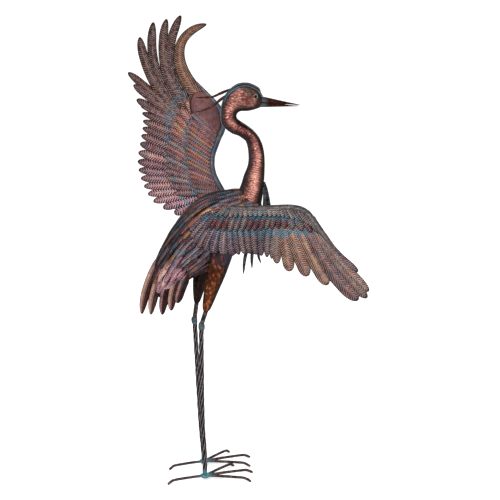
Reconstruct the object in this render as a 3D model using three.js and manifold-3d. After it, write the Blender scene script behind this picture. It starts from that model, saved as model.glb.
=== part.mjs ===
// A standing heron with its left wing raised and its right wing spread, made of formed copper sheet
// and iron bar. Lengths are millimetres. +X is the way the bill points, +Y is the bird's left, +Z is
// up, and the claws rest at z = 0. Points given as [x, z] lie in an upright plane beside the bird.
import * as THREE from "three";
import { LoftGeometry } from "three/addons/geometries/LoftGeometry.js";
import { mergeVertices } from "three/addons/utils/BufferGeometryUtils.js";
import Module from "manifold-3d";

// Air between two pieces that touch.
const GAP = 0.35;
// Details smaller than this are left out.
const FINEST = 0.05;

// Body: stations from breast to rump, each [x, z, half depth, half width].
const BODY_STATIONS = [
  [26, 716, 8, 9],
  [8, 705, 38, 30],
  [-25, 690, 61, 46],
  [-82, 655, 81, 55],
  [-141, 604, 71, 51],
  [-189, 555, 51, 41],
  [-218, 511, 35, 30],
  [-238, 476, 13, 13],
];
const BODY_RINGS = 12;
const BODY_SIDES = 14;
// The back is this much narrower than the flanks.
const BACK_PINCH = 0.16;

// Neck and head: stations from the shoulders to the bill, each [x, z, half depth, half width].
const NECK_STATIONS = [
  [-8, 706, 36, 30],
  [4, 744, 31, 27],
  [10, 776, 27, 22],
  [16, 806, 22, 18],
  [17, 832, 21, 17],
  [14, 860, 21, 17],
  [4, 882, 20, 17],
  [-20, 898, 18, 16],
  [-48, 911, 18, 16],
  [-55, 932, 18, 16],
  [-50, 955, 21, 18],
  [-30, 975, 32.5, 21],
  [-6, 977.5, 35.5, 22],
  [14, 970, 28, 19],
  [28, 966, 14, 10],
];
const NECK_RINGS = 21;
const NECK_SIDES = 10;
const EYE = { x: 14, z: 981, y: 17.5, radius: 4.6, tube: 1.3 };

// Bill: both halves start at the face and run to their tips.
const BILL_BASE_X = 27.6;
const UPPER_BILL = { z: 973.5, tip: [125, 959.6], depth: 7.4, width: 8.6 };
const LOWER_BILL = { z: 959.6, tip: [121, 956.8], depth: 5.7, width: 7.6 };
const BILL_TIP_RADIUS = 0.7;

// Crest and breast plumes: stiff strips, each with the points of its middle line [x, y, z].
const CREST_PLUMES = {
  crest_plume_upper: [[-46, 3, 1000], [-75, 3, 987.5], [-97, 3, 979], [-137, 3, 977.5]],
  crest_plume_lower: [[-50, -6, 990], [-72, -7, 974], [-90, -8, 960], [-118, -10, 946], [-150, -10, 941]],
};
const CREST_PLUME = { wide: 5, slim: 1.4, crest: 1, keel: 1, rootShare: 1, steps: 6 };
const BREAST_PLUMES = {
  breast_plume_front: [
    [34, -4, 768], [41, -5, 746], [45.5, -6, 722], [48, -7, 696], [43, -7, 640], [22, -6, 588], [28, -6, 558],
  ],
  breast_plume_left: [[33, 5, 754], [39, 9, 722], [40, 12, 680], [20, 13, 625], [6, 11, 582], [5, 10, 542]],
  breast_plume_right: [
    [35, -12, 755], [37, -17, 730], [35, -20, 700], [22, -21, 650], [-9, -18, 590], [-17, -15, 532],
  ],
};
const BREAST_PLUME = { wide: 5, slim: 4.6, crest: 1.1, keel: 1.1, rootShare: 0.8, steps: 9 };

// Wing sheets. The right wing stands off the flank and droops outwards, the left wing leans back.
const RIGHT_SHEET = {
  blend: 30,
  topZ: 716,
  standOff: 34,
  camber: 46,
  camberLength: 60,
  droop: 0.12,
  sweep: 0.33,
};
const LEFT_SHEET = {
  shoulder: [-70, 745],
  standOff: 50,
  lean: 0.3,
  trail: 0.1,
  curl: 0.0005,
};
// Rows of feathers lie on each other, this far apart.
const LAYER_STEP = 4.8;
// Across one feather of a row: how high the sheet rises, and the share of the notch it falls short.
const PLEAT = [
  { across: 0, rise: 0.3, short: 1 },
  { across: 0.36, rise: 2, short: 0 },
  { across: 0.78, rise: 1.5, short: 0.2 },
];
const ROOT_RISE = 0.5;
const SHEET_THICKNESS = 1;
const HAND_SHEET = { reach: 0.42, above: 0.5, below: 0.7 };
const EDGE_LIFT = 8.6;

const FLIGHT_FEATHER = { crest: 1.8, keel: 0.9, tilt: 0.05, steps: 6, round: 0.16 };

// Right wing: long feathers of the hand, each [root, tip, bow, half width].
const RIGHT_HAND = [
  [[150, 693], [260, 568], -18, 12],
  [[148, 686], [285, 523], -12, 15],
  [[140, 682], [281, 507], -12, 17],
  [[128, 680], [260, 500], -16, 21],
  [[114, 678], [189, 532], -6, 19],
  [[98, 678], [141, 550], -6, 19],
  [[82, 678], [98, 559], -2, 18],
  [[66, 678], [66, 576], 0, 13],
];
const RIGHT_ARM = {
  roots: [[76, 678], [20, 676], [-30, 677], [-62, 681], [-80, 690], [-88, 704]],
  tips: [[56, 586], [27, 593], [-9, 597], [-45, 592], [-105, 600], [-141, 621], [-151, 655]],
  count: 15,
  bow: -3,
  notch: 0.1,
  rows: 2,
};
const RIGHT_GREATER = {
  roots: [[-92, 690], [-40, 694], [30, 696], [80, 697], [140, 693]],
  tips: [[-112, 655], [-50, 649], [20, 652], [88, 660], [178, 652]],
  count: 18,
  bow: -2,
  notch: 0.3,
  rows: 2,
};
const RIGHT_LESSER = {
  roots: [[-68, 703], [-20, 700], [50, 702], [96, 704], [146, 688]],
  tips: [[-88, 684], [-30, 683], [30, 686], [80, 689], [154, 668]],
  count: 14,
  bow: -2,
  notch: 0.3,
  rows: 2,
};
const RIGHT_EDGE = {
  line: [
    [-78, 706], [-25, 702], [0, 701], [52, 704], [100, 707], [132, 702], [152, 686], [177, 652], [208, 616],
  ],
  wide: [6, 7, 7, 7, 1.5],
  thick: [3, 4, 4, 4, 1],
};

// Left wing: long feathers of the hand, each [root, tip, bow, half width].
const LEFT_HAND = [
  [[-125, 935], [-183, 1188], 74, 15],
  [[-138, 925], [-221, 1179], 56, 15],
  [[-148, 915], [-257, 1171], 57, 15.5],
  [[-150, 907], [-294, 1132], 39, 15.5],
  [[-150, 884], [-325, 1039], -7, 12.5],
  [[-156, 885], [-309, 1007], -4, 13],
  [[-160, 880], [-300, 969], -4, 13],
];
// The front edge of the sheet between them lies along the first feather.
const LEFT_SHEET_EDGE = [[-100, 945], [-170, 1180], 40];
const LEFT_FIRST = {
  line: [[-97, 947], [-203, 1028], [-223, 1138], [-114, 1164]],
  shape: { wide: 23, slim: 10, steps: 9 },
};
const LEFT_ARM = {
  roots: [[-130, 900], [-150, 850], [-150, 800], [-145, 765], [-130, 735], [-110, 712]],
  tips: [[-289, 956], [-282, 912], [-288, 864], [-295, 807], [-281, 754], [-250, 707], [-184, 674]],
  count: 15,
  bow: -2,
  notch: 0.11,
  rows: 2,
};
const LEFT_GREATER = {
  roots: [[-108, 950], [-140, 900], [-140, 850], [-135, 800], [-125, 765], [-112, 728]],
  tips: [[-150, 985], [-190, 930], [-214, 880], [-222, 835], [-222, 780], [-190, 722]],
  count: 14,
  bow: -2,
  notch: 0.25,
  rows: 2,
};
const LEFT_LESSER = {
  roots: [[-88, 950], [-72, 905], [-92, 845], [-98, 800], [-88, 760], [-64, 725]],
  tips: [[-136, 952], [-152, 905], [-165, 855], [-165, 810], [-158, 765], [-134, 718]],
  count: 12,
  bow: -2,
  notch: 0.25,
  rows: 2,
};
const LEFT_EDGE = {
  line: [
    [-138, 1011], [-107, 979], [-82, 950], [-70, 923], [-69, 895], [-82, 864], [-96, 821], [-93, 781],
    [-72, 740], [-54, 714], [-50, 690],
  ],
  wide: [3, 7, 7, 7, 7],
  thick: [1, 4, 4, 4, 4],
};

// Tail: a steep roof of feathers on each side. Roots and tips [x, z] run from the ridge downwards.
const TAIL_ROOTS = [[-215, 588], [-204, 572], [-190, 556], [-175, 545], [-158, 536]];
const TAIL_TIPS = [[-278, 427], [-254, 427], [-224, 428], [-201, 440], [-185, 460]];
const TAIL_BOW = [-16, -13, -10, -8, -3];
const TAIL_SPREAD = [9, 17, 24, 29, 32];
const TAIL_FEATHER = { wide: 13, slim: 10.5, crest: 2, keel: 1, tilt: 0.05, steps: 4 };
const TAIL_CORE_REACH = 0.68;

// Back feathers lie in rings round the body, from the shoulders down to the rump.
const BACK_ROWS = [0.3, 0.54];
const BACK_ROW_LENGTH = 0.26;
const BACK_ANGLES = [-90, -54, -18, 18, 54, 90];
const BACK_STAGGER = 16;
const BACK_CLOSING = 0.1;
const BACK_LIFT = 1.5;
const BACK_FEATHER = { wide: 14, slim: 10, crest: 2.2, keel: 3, tilt: 0.05, steps: 3, round: 0.5 };

// Legs: [x, z] down the middle of each piece, with the half widths of the thigh.
const RIGHT_LEG = {
  thigh: [
    [-56, 646, 10], [-65, 612, 27], [-80, 556, 25], [-97, 500, 18.5], [-109, 456, 11.5], [-112, 443, 5.5],
  ],
  thighY: [-30, -38, -46, -51, -54, -55],
  y: -56,
  shank: [[-112, 443], [-121, 415]],
  knee: [-122.5, 405],
  bar: [[-123, 396], [-123.5, 344], [-122, 159], [-117.5, 78], [-116.5, 9]],
  foot: [-116.5, -56],
};
const LEFT_LEG = {
  thigh: [
    [-90, 634, 10], [-104, 596, 25], [-121, 540, 24], [-131, 500, 18.5], [-138, 456, 10.5], [-140, 443, 5.5],
  ],
  thighY: [28, 36, 43, 47, 50, 51],
  y: 51,
  shank: [[-140, 443], [-145, 406]],
  knee: [-146, 397],
  bar: [[-145, 388], [-141.5, 316], [-132, 124], [-125.5, 41], [-123.5, 9]],
  foot: [-123.5, 51],
};
const SHANK_RADIUS = 5.2;
const KNEE = { radius: 7.6, half: 10.5 };
const BAR_SIDE = 10.2;
const BAR_RINGS = 18;
const BAR_TURN_LENGTH = 120;
const WELD = { radius: 12.5, height: 6.6, z: 10 };

// Toes: claw tips [x, y] of each foot, back toe first, then from the near side to the far side.
const TOE_RADIUS = 3.2;
// Down the middle of a toe: share of its length, and height.
const TOE_LINE = [[0.02, 10], [0.4, 11], [0.81, 10.5], [0.91, 7.6], [1, 1.2]];
const TOE_NAMES = ["back_toe", "outer_toe", "middle_toe", "inner_toe"];
const RIGHT_TOES = [[-210, -97], [3, -77], [7, -10], [-43, 40]];
const LEFT_TOES = [[-214, 9], [1, 34], [0, 106], [-57, 147]];

const COLOURS = {
  copper: 0x6e4a40,
  dark: 0x2b2625,
  bar: 0x4a3d38,
  bill: 0x5a2a26,
  neck: 0x9a5a4c,
  thigh: 0x8a5230,
};

const wasm = await Module();
wasm.setup();

const { Vector2, Vector3 } = THREE;
const SIDEWAYS = new Vector3(0, 1, 0);

// A closed three.js geometry as a solid, with its faces turned outwards.
function solid(geometry) {
  const bare = new THREE.BufferGeometry().copy(geometry);
  bare.deleteAttribute("normal");
  bare.deleteAttribute("uv");
  const merged = mergeVertices(bare, 1e-3);
  const vertProperties = merged.attributes.position.array;
  const triVerts = new Uint32Array(merged.index.array);
  const made = new wasm.Manifold(new wasm.Mesh({ numProp: 3, vertProperties, triVerts }));
  if (made.volume() > 0) return made;
  return new wasm.Manifold(new wasm.Mesh({ numProp: 3, vertProperties, triVerts: triVerts.reverse() }));
}

// A closed skin over rings of points, wound so that it faces outwards.
function loft(rings) {
  const middle = (ring) => ring.reduce((sum, p) => sum.add(p), new Vector3()).divideScalar(ring.length);
  const run = middle(rings[1]).sub(middle(rings[0]));
  const facing = new Vector3();
  rings[0].forEach((p, i, ring) =>
    facing.add(new Vector3().crossVectors(p, ring[(i + 1) % ring.length])));
  const wound = facing.dot(run) < 0 ? rings.map((ring) => [...ring].reverse()) : rings;
  return solid(new LoftGeometry(wound, { capStart: true, capEnd: true }));
}

// Many solids as one.
function fuse(solids) {
  return solids.reduce((whole, piece) => whole.add(piece));
}

// The largest body left after a cut.
function mainBody(cut) {
  return cut.decompose().reduce((best, body) => (body.volume() > best.volume() ? body : best));
}

// A smooth run through stations of any number of values, as a function of 0 to 1.
function smoothStations(stations) {
  const curves = stations[0].map((_, column) =>
    new THREE.SplineCurve(stations.map((row, i) => new Vector2(i, row[column]))));
  return (t) => curves.map((curve) => curve.getPoint(t).y);
}

// Rings of an upright form that runs along stations [x, z, half depth, half width, y].
function formRing(at, t, sides, grow, widthAt = () => 1) {
  const step = 1e-3;
  const [x, z, depth, width, y = 0] = at(t);
  const [x0, z0] = at(Math.max(0, t - step));
  const [x1, z1] = at(Math.min(1, t + step));
  const along = new Vector3(x1 - x0, 0, z1 - z0).normalize();
  const across = new Vector3().crossVectors(SIDEWAYS, along);
  const ring = [];
  for (let i = 0; i < sides; i++) {
    const angle = (i / sides) * Math.PI * 2;
    const out = across.clone().multiplyScalar(Math.cos(angle) * (depth + grow));
    out.y = Math.sin(angle) * (width + grow) * widthAt(Math.cos(angle));
    ring.push(out.add(new Vector3(x, y, z)));
  }
  return ring;
}

function form(stations, rings, sides, grow = 0, widthAt = undefined) {
  const at = smoothStations(stations);
  const made = [];
  for (let i = 0; i <= rings; i++) made.push(formRing(at, i / rings, sides, grow, widthAt));
  return loft(made);
}

// A pressed feather: a low ridge along its quill, thin edges and a rounded tip. outward(point) is
// the way the ridge faces.
function feather(quill, outward, shape) {
  const { wide, slim = wide * 0.8, crest, keel, tilt = 0, round = 0.22, steps = 5, rootShare = 0.6 } = shape;
  const rootLength = 0.25;
  const tipShare = 0.12;
  const tipRise = 0.4;
  const crowding = 1.5;
  const rings = [];
  for (let i = 0; i <= steps; i++) {
    const t = 1 - (1 - i / steps) ** crowding;
    const centre = quill.getPoint(t);
    const along = quill.getTangent(t);
    const across = new Vector3().crossVectors(along, outward(centre)).normalize();
    const up = new Vector3().crossVectors(across, along);
    const nearTip = Math.max(0, (t - 1 + round) / round);
    const tip = Math.max(tipShare, Math.sqrt(Math.max(0, 1 - nearTip ** 2)));
    const root = rootShare + (1 - rootShare) * Math.min(1, t / rootLength);
    const half = THREE.MathUtils.lerp(wide, slim, t) * tip * root;
    const rise = THREE.MathUtils.lerp(tipRise, 1, tip);
    const point = (side, lift) =>
      centre.clone().addScaledVector(across, side * half).addScaledVector(up, lift + side * half * tilt);
    rings.push([point(-1, 0), point(0, crest * rise), point(1, 0), point(0, -keel * rise)]);
  }
  return loft(rings);
}

// A wing sheet: its place in depth over each [x, z], and its outward way.
function sheet(depth) {
  const step = 0.5;
  const normal = (x, z) =>
    new Vector3(
      (depth(x + step, z) - depth(x - step, z)) / (2 * step),
      -1,
      (depth(x, z + step) - depth(x, z - step)) / (2 * step),
    ).normalize();
  const at = (x, z, lift = 0) => new Vector3(x, depth(x, z), z).addScaledVector(normal(x, z), lift);
  return { at, normal };
}

function rightDepth(x, z) {
  const { blend, topZ, standOff, camber, camberLength, droop, sweep } = RIGHT_SHEET;
  const down = Math.max(0, topZ - z);
  const out = (x + Math.hypot(x, blend) - blend) / 2;
  return -(standOff + camber * (1 - Math.exp(-down / camberLength)) + droop * down + sweep * out);
}

function leftDepth(x, z) {
  const { shoulder, standOff, lean, trail, curl } = LEFT_SHEET;
  const back = shoulder[0] - x;
  return standOff + lean * (z - shoulder[1]) + trail * back + curl * back * back;
}

// A flat [x, z] curve laid on a sheet.
class SheetCurve extends THREE.Curve {
  constructor(flat, on, lift) {
    super();
    this.flat = flat;
    this.on = on;
    this.lift = lift;
  }

  getPoint(t, target = new Vector3()) {
    const { x, y } = this.flat.getPoint(t);
    return target.copy(this.on.at(x, y, this.lift));
  }
}

// A curve from root to tip that bows to one side.
function bowed([x0, z0], [x1, z1], bow) {
  const root = new Vector2(x0, z0);
  const tip = new Vector2(x1, z1);
  const run = tip.clone().sub(root);
  const aside = new Vector2(-run.y, run.x).normalize().multiplyScalar(bow);
  const first = root.clone().addScaledVector(run, 1 / 3).add(aside);
  const second = root.clone().addScaledVector(run, 2 / 3).add(aside);
  return new THREE.CubicBezierCurve(root, first, second, tip);
}

function splineOf(points) {
  return new THREE.SplineCurve(points.map(([x, z]) => new Vector2(x, z)));
}

function sheetFeather(flat, on, lift, shape) {
  const quill = new SheetCurve(flat, on, lift);
  return feather(quill, (p) => on.normal(p.x, p.z), shape);
}

// A row of feathers pressed in one sheet, between a line of roots and a line of tips. Across each
// feather the sheet rises to its quill and drops to the next one, and its end is rounded to a tip.
function featherRow(on, lift, { roots, tips, count, bow, notch, rows }) {
  const [rootLine, tipLine] = [splineOf(roots), splineOf(tips)];
  const columns = PLEAT.length;
  const rings = [];
  for (let i = 0; i <= count * columns; i++) {
    const { across, rise, short } = PLEAT[i % columns];
    const share = (Math.floor(i / columns) + across) / count;
    const at = Math.min(1, share);
    const root = rootLine.getPoint(at);
    const tip = tipLine.getPoint(at);
    const quill = bowed(root.toArray(), tip.toArray(), bow);
    const point = (t, height) => {
      const p = quill.getPoint(t * (1 - notch * short));
      return on.at(p.x, p.y, lift + height);
    };
    const top = [];
    for (let row = rows; row >= 0; row--) top.push(point(row / rows, row ? rise : ROOT_RISE));
    rings.push([point(0, -SHEET_THICKNESS), point(1, -SHEET_THICKNESS), ...top]);
  }
  return loft(rings);
}

function handFeathers(on, rows) {
  return rows.map(([root, tip, bow, wide]) =>
    sheetFeather(bowed(root, tip, bow), on, 0, { ...FLIGHT_FEATHER, wide }));
}

// The sheet that joins the long feathers of the hand along the first part of their length.
function handSheet(on, rows) {
  const { reach, above, below } = HAND_SHEET;
  const rings = rows.map(([root, tip, bow]) => {
    const quill = bowed(root, tip, bow);
    const point = (t, lift) => {
      const p = quill.getPoint(t);
      return on.at(p.x, p.y, lift);
    };
    return [point(0, -below), point(reach / 2, -below), point(reach, -below),
      point(reach, above), point(reach / 2, above), point(0, above)];
  });
  return loft(rings);
}

// The rolled front edge of a wing.
function wingEdge(on, { line, wide, thick }, grow) {
  const curve = new SheetCurve(splineOf(line), on, EDGE_LIFT);
  const sizeAt = smoothStations(wide.map((half, i) => [half, thick[i]]));
  const steps = 12;
  const sides = 6;
  const rings = [];
  for (let i = 0; i <= steps; i++) {
    const t = i / steps;
    const centre = curve.getPoint(t);
    const along = curve.getTangent(t);
    const across = new Vector3().crossVectors(along, on.normal(centre.x, centre.z)).normalize();
    const up = new Vector3().crossVectors(across, along);
    const [half, high] = sizeAt(t);
    const ring = [];
    for (let side = 0; side < sides; side++) {
      const angle = (side / sides) * Math.PI * 2;
      ring.push(centre.clone()
        .addScaledVector(across, -Math.cos(angle) * (half + grow))
        .addScaledVector(up, Math.sin(angle) * (high + grow)));
    }
    rings.push(ring);
  }
  return loft(rings);
}

function strip(points, shape) {
  const quill = new THREE.CatmullRomCurve3(points.map((p) => new Vector3(...p)));
  return feather(quill, () => new Vector3(0, -1, 0), shape);
}

const backWidth = (up) => 1 - BACK_PINCH * Math.max(0, up);

function makeBody(grow = 0) {
  return form(BODY_STATIONS, BODY_RINGS, BODY_SIDES, grow, backWidth);
}

// A point on the body's skin: t runs from breast to rump, angle from the ridge of the back.
const bodyAt = smoothStations(BODY_STATIONS);

function bodySkin(t, degrees, lift = 0) {
  const step = 1e-3;
  const [x, z, depth, width] = bodyAt(t);
  const [x1, z1] = bodyAt(t + step);
  const along = new Vector3(x1 - x, 0, z1 - z).normalize();
  const across = new Vector3().crossVectors(SIDEWAYS, along);
  const angle = THREE.MathUtils.degToRad(degrees);
  const point = across.multiplyScalar(Math.cos(angle) * (depth + lift));
  point.y = Math.sin(angle) * (width + lift) * backWidth(Math.cos(angle));
  return point.add(new Vector3(x, 0, z));
}

function bodyNormal(point) {
  let best = bodyAt(0);
  const steps = 50;
  for (let i = 0; i <= steps; i++) {
    const here = bodyAt(i / steps);
    const distance = Math.hypot(here[0] - point.x, here[1] - point.z);
    if (distance < Math.hypot(best[0] - point.x, best[1] - point.z)) best = here;
  }
  return new Vector3(point.x - best[0], point.y, point.z - best[1]).normalize();
}

function makeBackFeathers(grow) {
  const { wide, crest, keel } = BACK_FEATHER;
  const shape = { ...BACK_FEATHER, wide: wide + grow, crest: crest + grow, keel: keel + grow };
  const rows = BACK_ROWS.map((start, row) =>
    BACK_ANGLES.map((angle) => {
      const turned = angle + (row % 2 ? BACK_STAGGER : 0);
      const points = [0, 0.5, 1].map((share) => {
        const closed = turned * (1 - BACK_CLOSING * share);
        return bodySkin(start + share * BACK_ROW_LENGTH, closed, BACK_LIFT * (1 + share));
      });
      return feather(new THREE.CatmullRomCurve3(points), bodyNormal, shape);
    }));
  return rows.flat();
}

// The quill of one tail feather, and the wedge that joins the quills of both sides.
function tailQuill(side, i) {
  const flat = bowed(TAIL_ROOTS[i], TAIL_TIPS[i], TAIL_BOW[i]);
  const points = [0, 0.33, 0.67, 1].map((t) => {
    const p = flat.getPoint(t);
    return new Vector3(p.x, side * TAIL_SPREAD[i], p.y);
  });
  return new THREE.CatmullRomCurve3(points);
}

function makeTailCore() {
  const rings = TAIL_TIPS.map((_, i) => {
    const along = [0, TAIL_CORE_REACH / 2, TAIL_CORE_REACH];
    const near = along.map((t) => tailQuill(-1, i).getPoint(t));
    const far = along.map((t) => tailQuill(1, i).getPoint(t)).reverse();
    return [...near, ...far];
  });
  return loft(rings);
}

function makeTail() {
  const feathers = [makeTailCore()];
  for (const side of [-1, 1]) {
    const outward = () => new Vector3(-0.25, side, 0.1).normalize();
    TAIL_TIPS.forEach((_, i) => feathers.push(feather(tailQuill(side, i), outward, TAIL_FEATHER)));
  }
  return feathers;
}

function makeThigh({ thigh, thighY }, grow) {
  const flatness = 0.92;
  const stations = thigh.map(([x, z, half], i) => [x, z, half, half * flatness, thighY[i]]);
  return form(stations, 7, 10, grow);
}

function makeEye(side) {
  const ring = new THREE.TorusGeometry(EYE.radius, EYE.tube, 4, 10);
  ring.rotateX(Math.PI / 2);
  ring.translate(EYE.x, side * EYE.y, EYE.z);
  return solid(ring);
}

function makeBill({ z, tip, depth, width }) {
  const hidden = 8;
  const straight = 2;
  const [middleX, middleSize] = [0.6 * tip[0], 0.54];
  const stations = [
    [BILL_BASE_X - hidden, z, depth, width],
    [BILL_BASE_X + straight, z, depth, width],
    [middleX, (z + tip[1]) / 2, depth * middleSize, width * middleSize],
    [...tip, BILL_TIP_RADIUS, BILL_TIP_RADIUS],
  ];
  return form(stations, 5, 8);
}

// The rod below the thigh and the knee that clasps the leg bar.
function makeKnee({ shank, knee, y }, grow) {
  const stations = [...shank, knee].map(([x, z]) => [x, z, SHANK_RADIUS, SHANK_RADIUS, y]);
  const rod = form(stations, 3, 6, grow);
  const ball = new THREE.SphereGeometry(1, 8, 6);
  ball.rotateX(Math.PI / 2);
  ball.scale(KNEE.radius + grow, KNEE.radius + grow, KNEE.half + grow);
  ball.translate(knee[0], y, knee[1]);
  return rod.add(solid(ball));
}

// A square bar twisted along its length, with the weld at its foot.
function makeBar({ bar, y, foot }) {
  const line = new THREE.SplineCurve(bar.map(([x, z]) => new Vector2(x, z)));
  const corner = BAR_SIDE / Math.SQRT2;
  const length = line.getLength();
  const rings = [];
  for (let i = 0; i <= BAR_RINGS; i++) {
    const t = i / BAR_RINGS;
    const { x, y: z } = line.getPointAt(t);
    const turn = (t * length / BAR_TURN_LENGTH) * Math.PI * 2;
    const ring = [];
    for (let side = 0; side < 4; side++) {
      const angle = turn + (side / 4) * Math.PI * 2;
      ring.push(new Vector3(x + corner * Math.cos(angle), y - corner * Math.sin(angle), z));
    }
    rings.push(ring);
  }
  return loft(rings).add(makeWeld(foot, 0));
}

function makeWeld([x, y], grow) {
  const weld = new THREE.SphereGeometry(1, 8, 6);
  weld.rotateX(Math.PI / 2);
  weld.scale(WELD.radius + grow, WELD.radius + grow, WELD.height + grow);
  weld.translate(x, y, WELD.z);
  return solid(weld);
}

// A rod that leaves the foot level and bends down to a claw, cut flat where it stands.
function makeToe([footX, footY], [tipX, tipY]) {
  const points = TOE_LINE.map(([share, z]) =>
    new Vector3(THREE.MathUtils.lerp(footX, tipX, share), THREE.MathUtils.lerp(footY, tipY, share), z));
  const line = new THREE.CatmullRomCurve3(points);
  const section = new THREE.Shape();
  section.absarc(0, 0, TOE_RADIUS, 0, Math.PI * 2);
  const rod = new THREE.ExtrudeGeometry(section, { extrudePath: line, steps: 7, curveSegments: 3 });
  return solid(rod);
}

const GROUND_SIZE = 1000;
const groundBlock = new THREE.BoxGeometry(GROUND_SIZE, GROUND_SIZE, GROUND_SIZE);
const ground = solid(groundBlock.translate(0, 0, -GROUND_SIZE / 2));

const heron = new THREE.Group();

function addPiece(name, made, colour) {
  const mesh = mainBody(made).simplify(FINEST).getMesh();
  const points = [];
  for (let i = 0; i < mesh.numVert; i++) points.push(...mesh.position(i));
  const geometry = new THREE.BufferGeometry();
  geometry.setAttribute("position", new THREE.Float32BufferAttribute(points, 3));
  geometry.setIndex([...mesh.triVerts]);
  geometry.computeVertexNormals();
  const material = new THREE.MeshStandardMaterial({ color: colour, metalness: 0.8, roughness: 0.45 });
  const piece = new THREE.Mesh(geometry, material);
  piece.name = name;
  heron.add(piece);
}

const bodyWith = (grow) => makeBody(grow).add(fuse(makeBackFeathers(grow)));
const body = bodyWith(0);
const bodySpace = bodyWith(GAP);
addPiece("body", body, COLOURS.copper);

const makeNeck = (grow) => form(NECK_STATIONS, NECK_RINGS, NECK_SIDES, grow);
const neckSpace = makeNeck(GAP);
const neck = makeNeck(0).subtract(bodySpace).add(makeEye(1)).add(makeEye(-1));
addPiece("neck_and_head", neck, COLOURS.neck);
addPiece("bill_upper", makeBill(UPPER_BILL).subtract(neckSpace), COLOURS.bill);
addPiece("bill_lower", makeBill(LOWER_BILL).subtract(neckSpace), COLOURS.bill);

for (const [name, points] of Object.entries(CREST_PLUMES))
  addPiece(name, strip(points, CREST_PLUME).subtract(neckSpace), COLOURS.dark);
for (const [name, points] of Object.entries(BREAST_PLUMES))
  addPiece(name, strip(points, BREAST_PLUME).subtract(neckSpace).subtract(bodySpace), COLOURS.dark);

// Wings: each is three rows of feathers, the top one carrying the rolled front edge.
const right = sheet(rightDepth);
const rightFlight = [
  ...handFeathers(right, RIGHT_HAND),
  handSheet(right, RIGHT_HAND),
  featherRow(right, 0, RIGHT_ARM),
];
const left = sheet(leftDepth);
const first = new THREE.CubicBezierCurve(...LEFT_FIRST.line.map(([x, z]) => new Vector2(x, z)));
const leftFlight = [
  sheetFeather(first, left, 0, { ...FLIGHT_FEATHER, ...LEFT_FIRST.shape }),
  ...handFeathers(left, LEFT_HAND),
  handSheet(left, [LEFT_SHEET_EDGE, ...LEFT_HAND]),
  featherRow(left, 0, LEFT_ARM),
];

function addWing(side, on, flight, greater, lesser, edge) {
  const rows = {
    flight_feathers: flight,
    greater_coverts: [featherRow(on, LAYER_STEP, greater).subtract(wingEdge(on, edge, GAP))],
    lesser_coverts: [featherRow(on, 2 * LAYER_STEP, lesser), wingEdge(on, edge, 0)],
  };
  for (const [name, feathers] of Object.entries(rows))
    addPiece(`${side}_wing_${name}`, fuse(feathers).subtract(bodySpace).subtract(neckSpace), COLOURS.copper);
}
addWing("right", right, rightFlight, RIGHT_GREATER, RIGHT_LESSER, RIGHT_EDGE);
addWing("left", left, leftFlight, LEFT_GREATER, LEFT_LESSER, LEFT_EDGE);

addPiece("tail_feathers", fuse(makeTail()).subtract(bodySpace), COLOURS.copper);

for (const [side, leg, toes] of [["right", RIGHT_LEG, RIGHT_TOES], ["left", LEFT_LEG, LEFT_TOES]]) {
  addPiece(`${side}_thigh`, makeThigh(leg, 0).subtract(bodySpace), COLOURS.thigh);
  addPiece(`${side}_knee`, makeKnee(leg, 0).subtract(makeThigh(leg, GAP)), COLOURS.bar);
  addPiece(`${side}_leg`, makeBar(leg).subtract(makeKnee(leg, GAP)), COLOURS.bar);
  toes.forEach((tip, i) => {
    const toe = makeToe(leg.foot, tip).subtract(makeWeld(leg.foot, GAP)).subtract(ground);
    addPiece(`${side}_${TOE_NAMES[i]}`, toe, COLOURS.bar);
  });
}

// The origin is below the middle of the whole, on the ground.
const box = new THREE.Box3().setFromObject(heron);
const middle = box.getCenter(new Vector3());
heron.position.set(-middle.x, -middle.y, -box.min.z);

export default heron;
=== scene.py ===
"""A copper heron with its left wing raised and its right wing spread, on a pale studio floor.

Lengths are millimetres in the part's own drawing frame until a mesh is made: +X is the way the bill
points, +Y is the bird's left and +Z is up. Points given as [x, z] lie in an upright plane beside it.
"""
import math

import bpy
import numpy as np
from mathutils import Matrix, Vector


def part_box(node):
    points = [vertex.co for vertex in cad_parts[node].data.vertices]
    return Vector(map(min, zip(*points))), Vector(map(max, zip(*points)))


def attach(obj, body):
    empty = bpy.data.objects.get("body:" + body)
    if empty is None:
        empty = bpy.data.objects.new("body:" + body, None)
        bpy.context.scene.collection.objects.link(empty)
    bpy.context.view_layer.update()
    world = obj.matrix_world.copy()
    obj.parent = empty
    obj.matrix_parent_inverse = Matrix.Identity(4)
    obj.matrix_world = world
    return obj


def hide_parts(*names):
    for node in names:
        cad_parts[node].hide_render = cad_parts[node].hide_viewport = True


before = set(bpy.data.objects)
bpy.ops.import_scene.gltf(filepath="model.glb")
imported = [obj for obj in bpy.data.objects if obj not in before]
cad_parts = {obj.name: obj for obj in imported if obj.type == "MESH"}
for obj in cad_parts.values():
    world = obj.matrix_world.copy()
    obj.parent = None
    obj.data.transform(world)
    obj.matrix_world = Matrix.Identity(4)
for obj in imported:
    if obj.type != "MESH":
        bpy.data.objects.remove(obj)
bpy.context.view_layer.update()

MM = 0.001
RANDOM = np.random.default_rng(7)

# The right leg's weld ties the drawing frame to the row frame.
WELD_RIGHT_X, WELD_Y = -104.0, -56.0
leg_low, leg_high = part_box("right_leg")
SHIFT = np.array([leg_high.x / MM - WELD_RIGHT_X, (leg_low.y + leg_high.y) / (2 * MM) - WELD_Y, 0.0])

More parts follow.
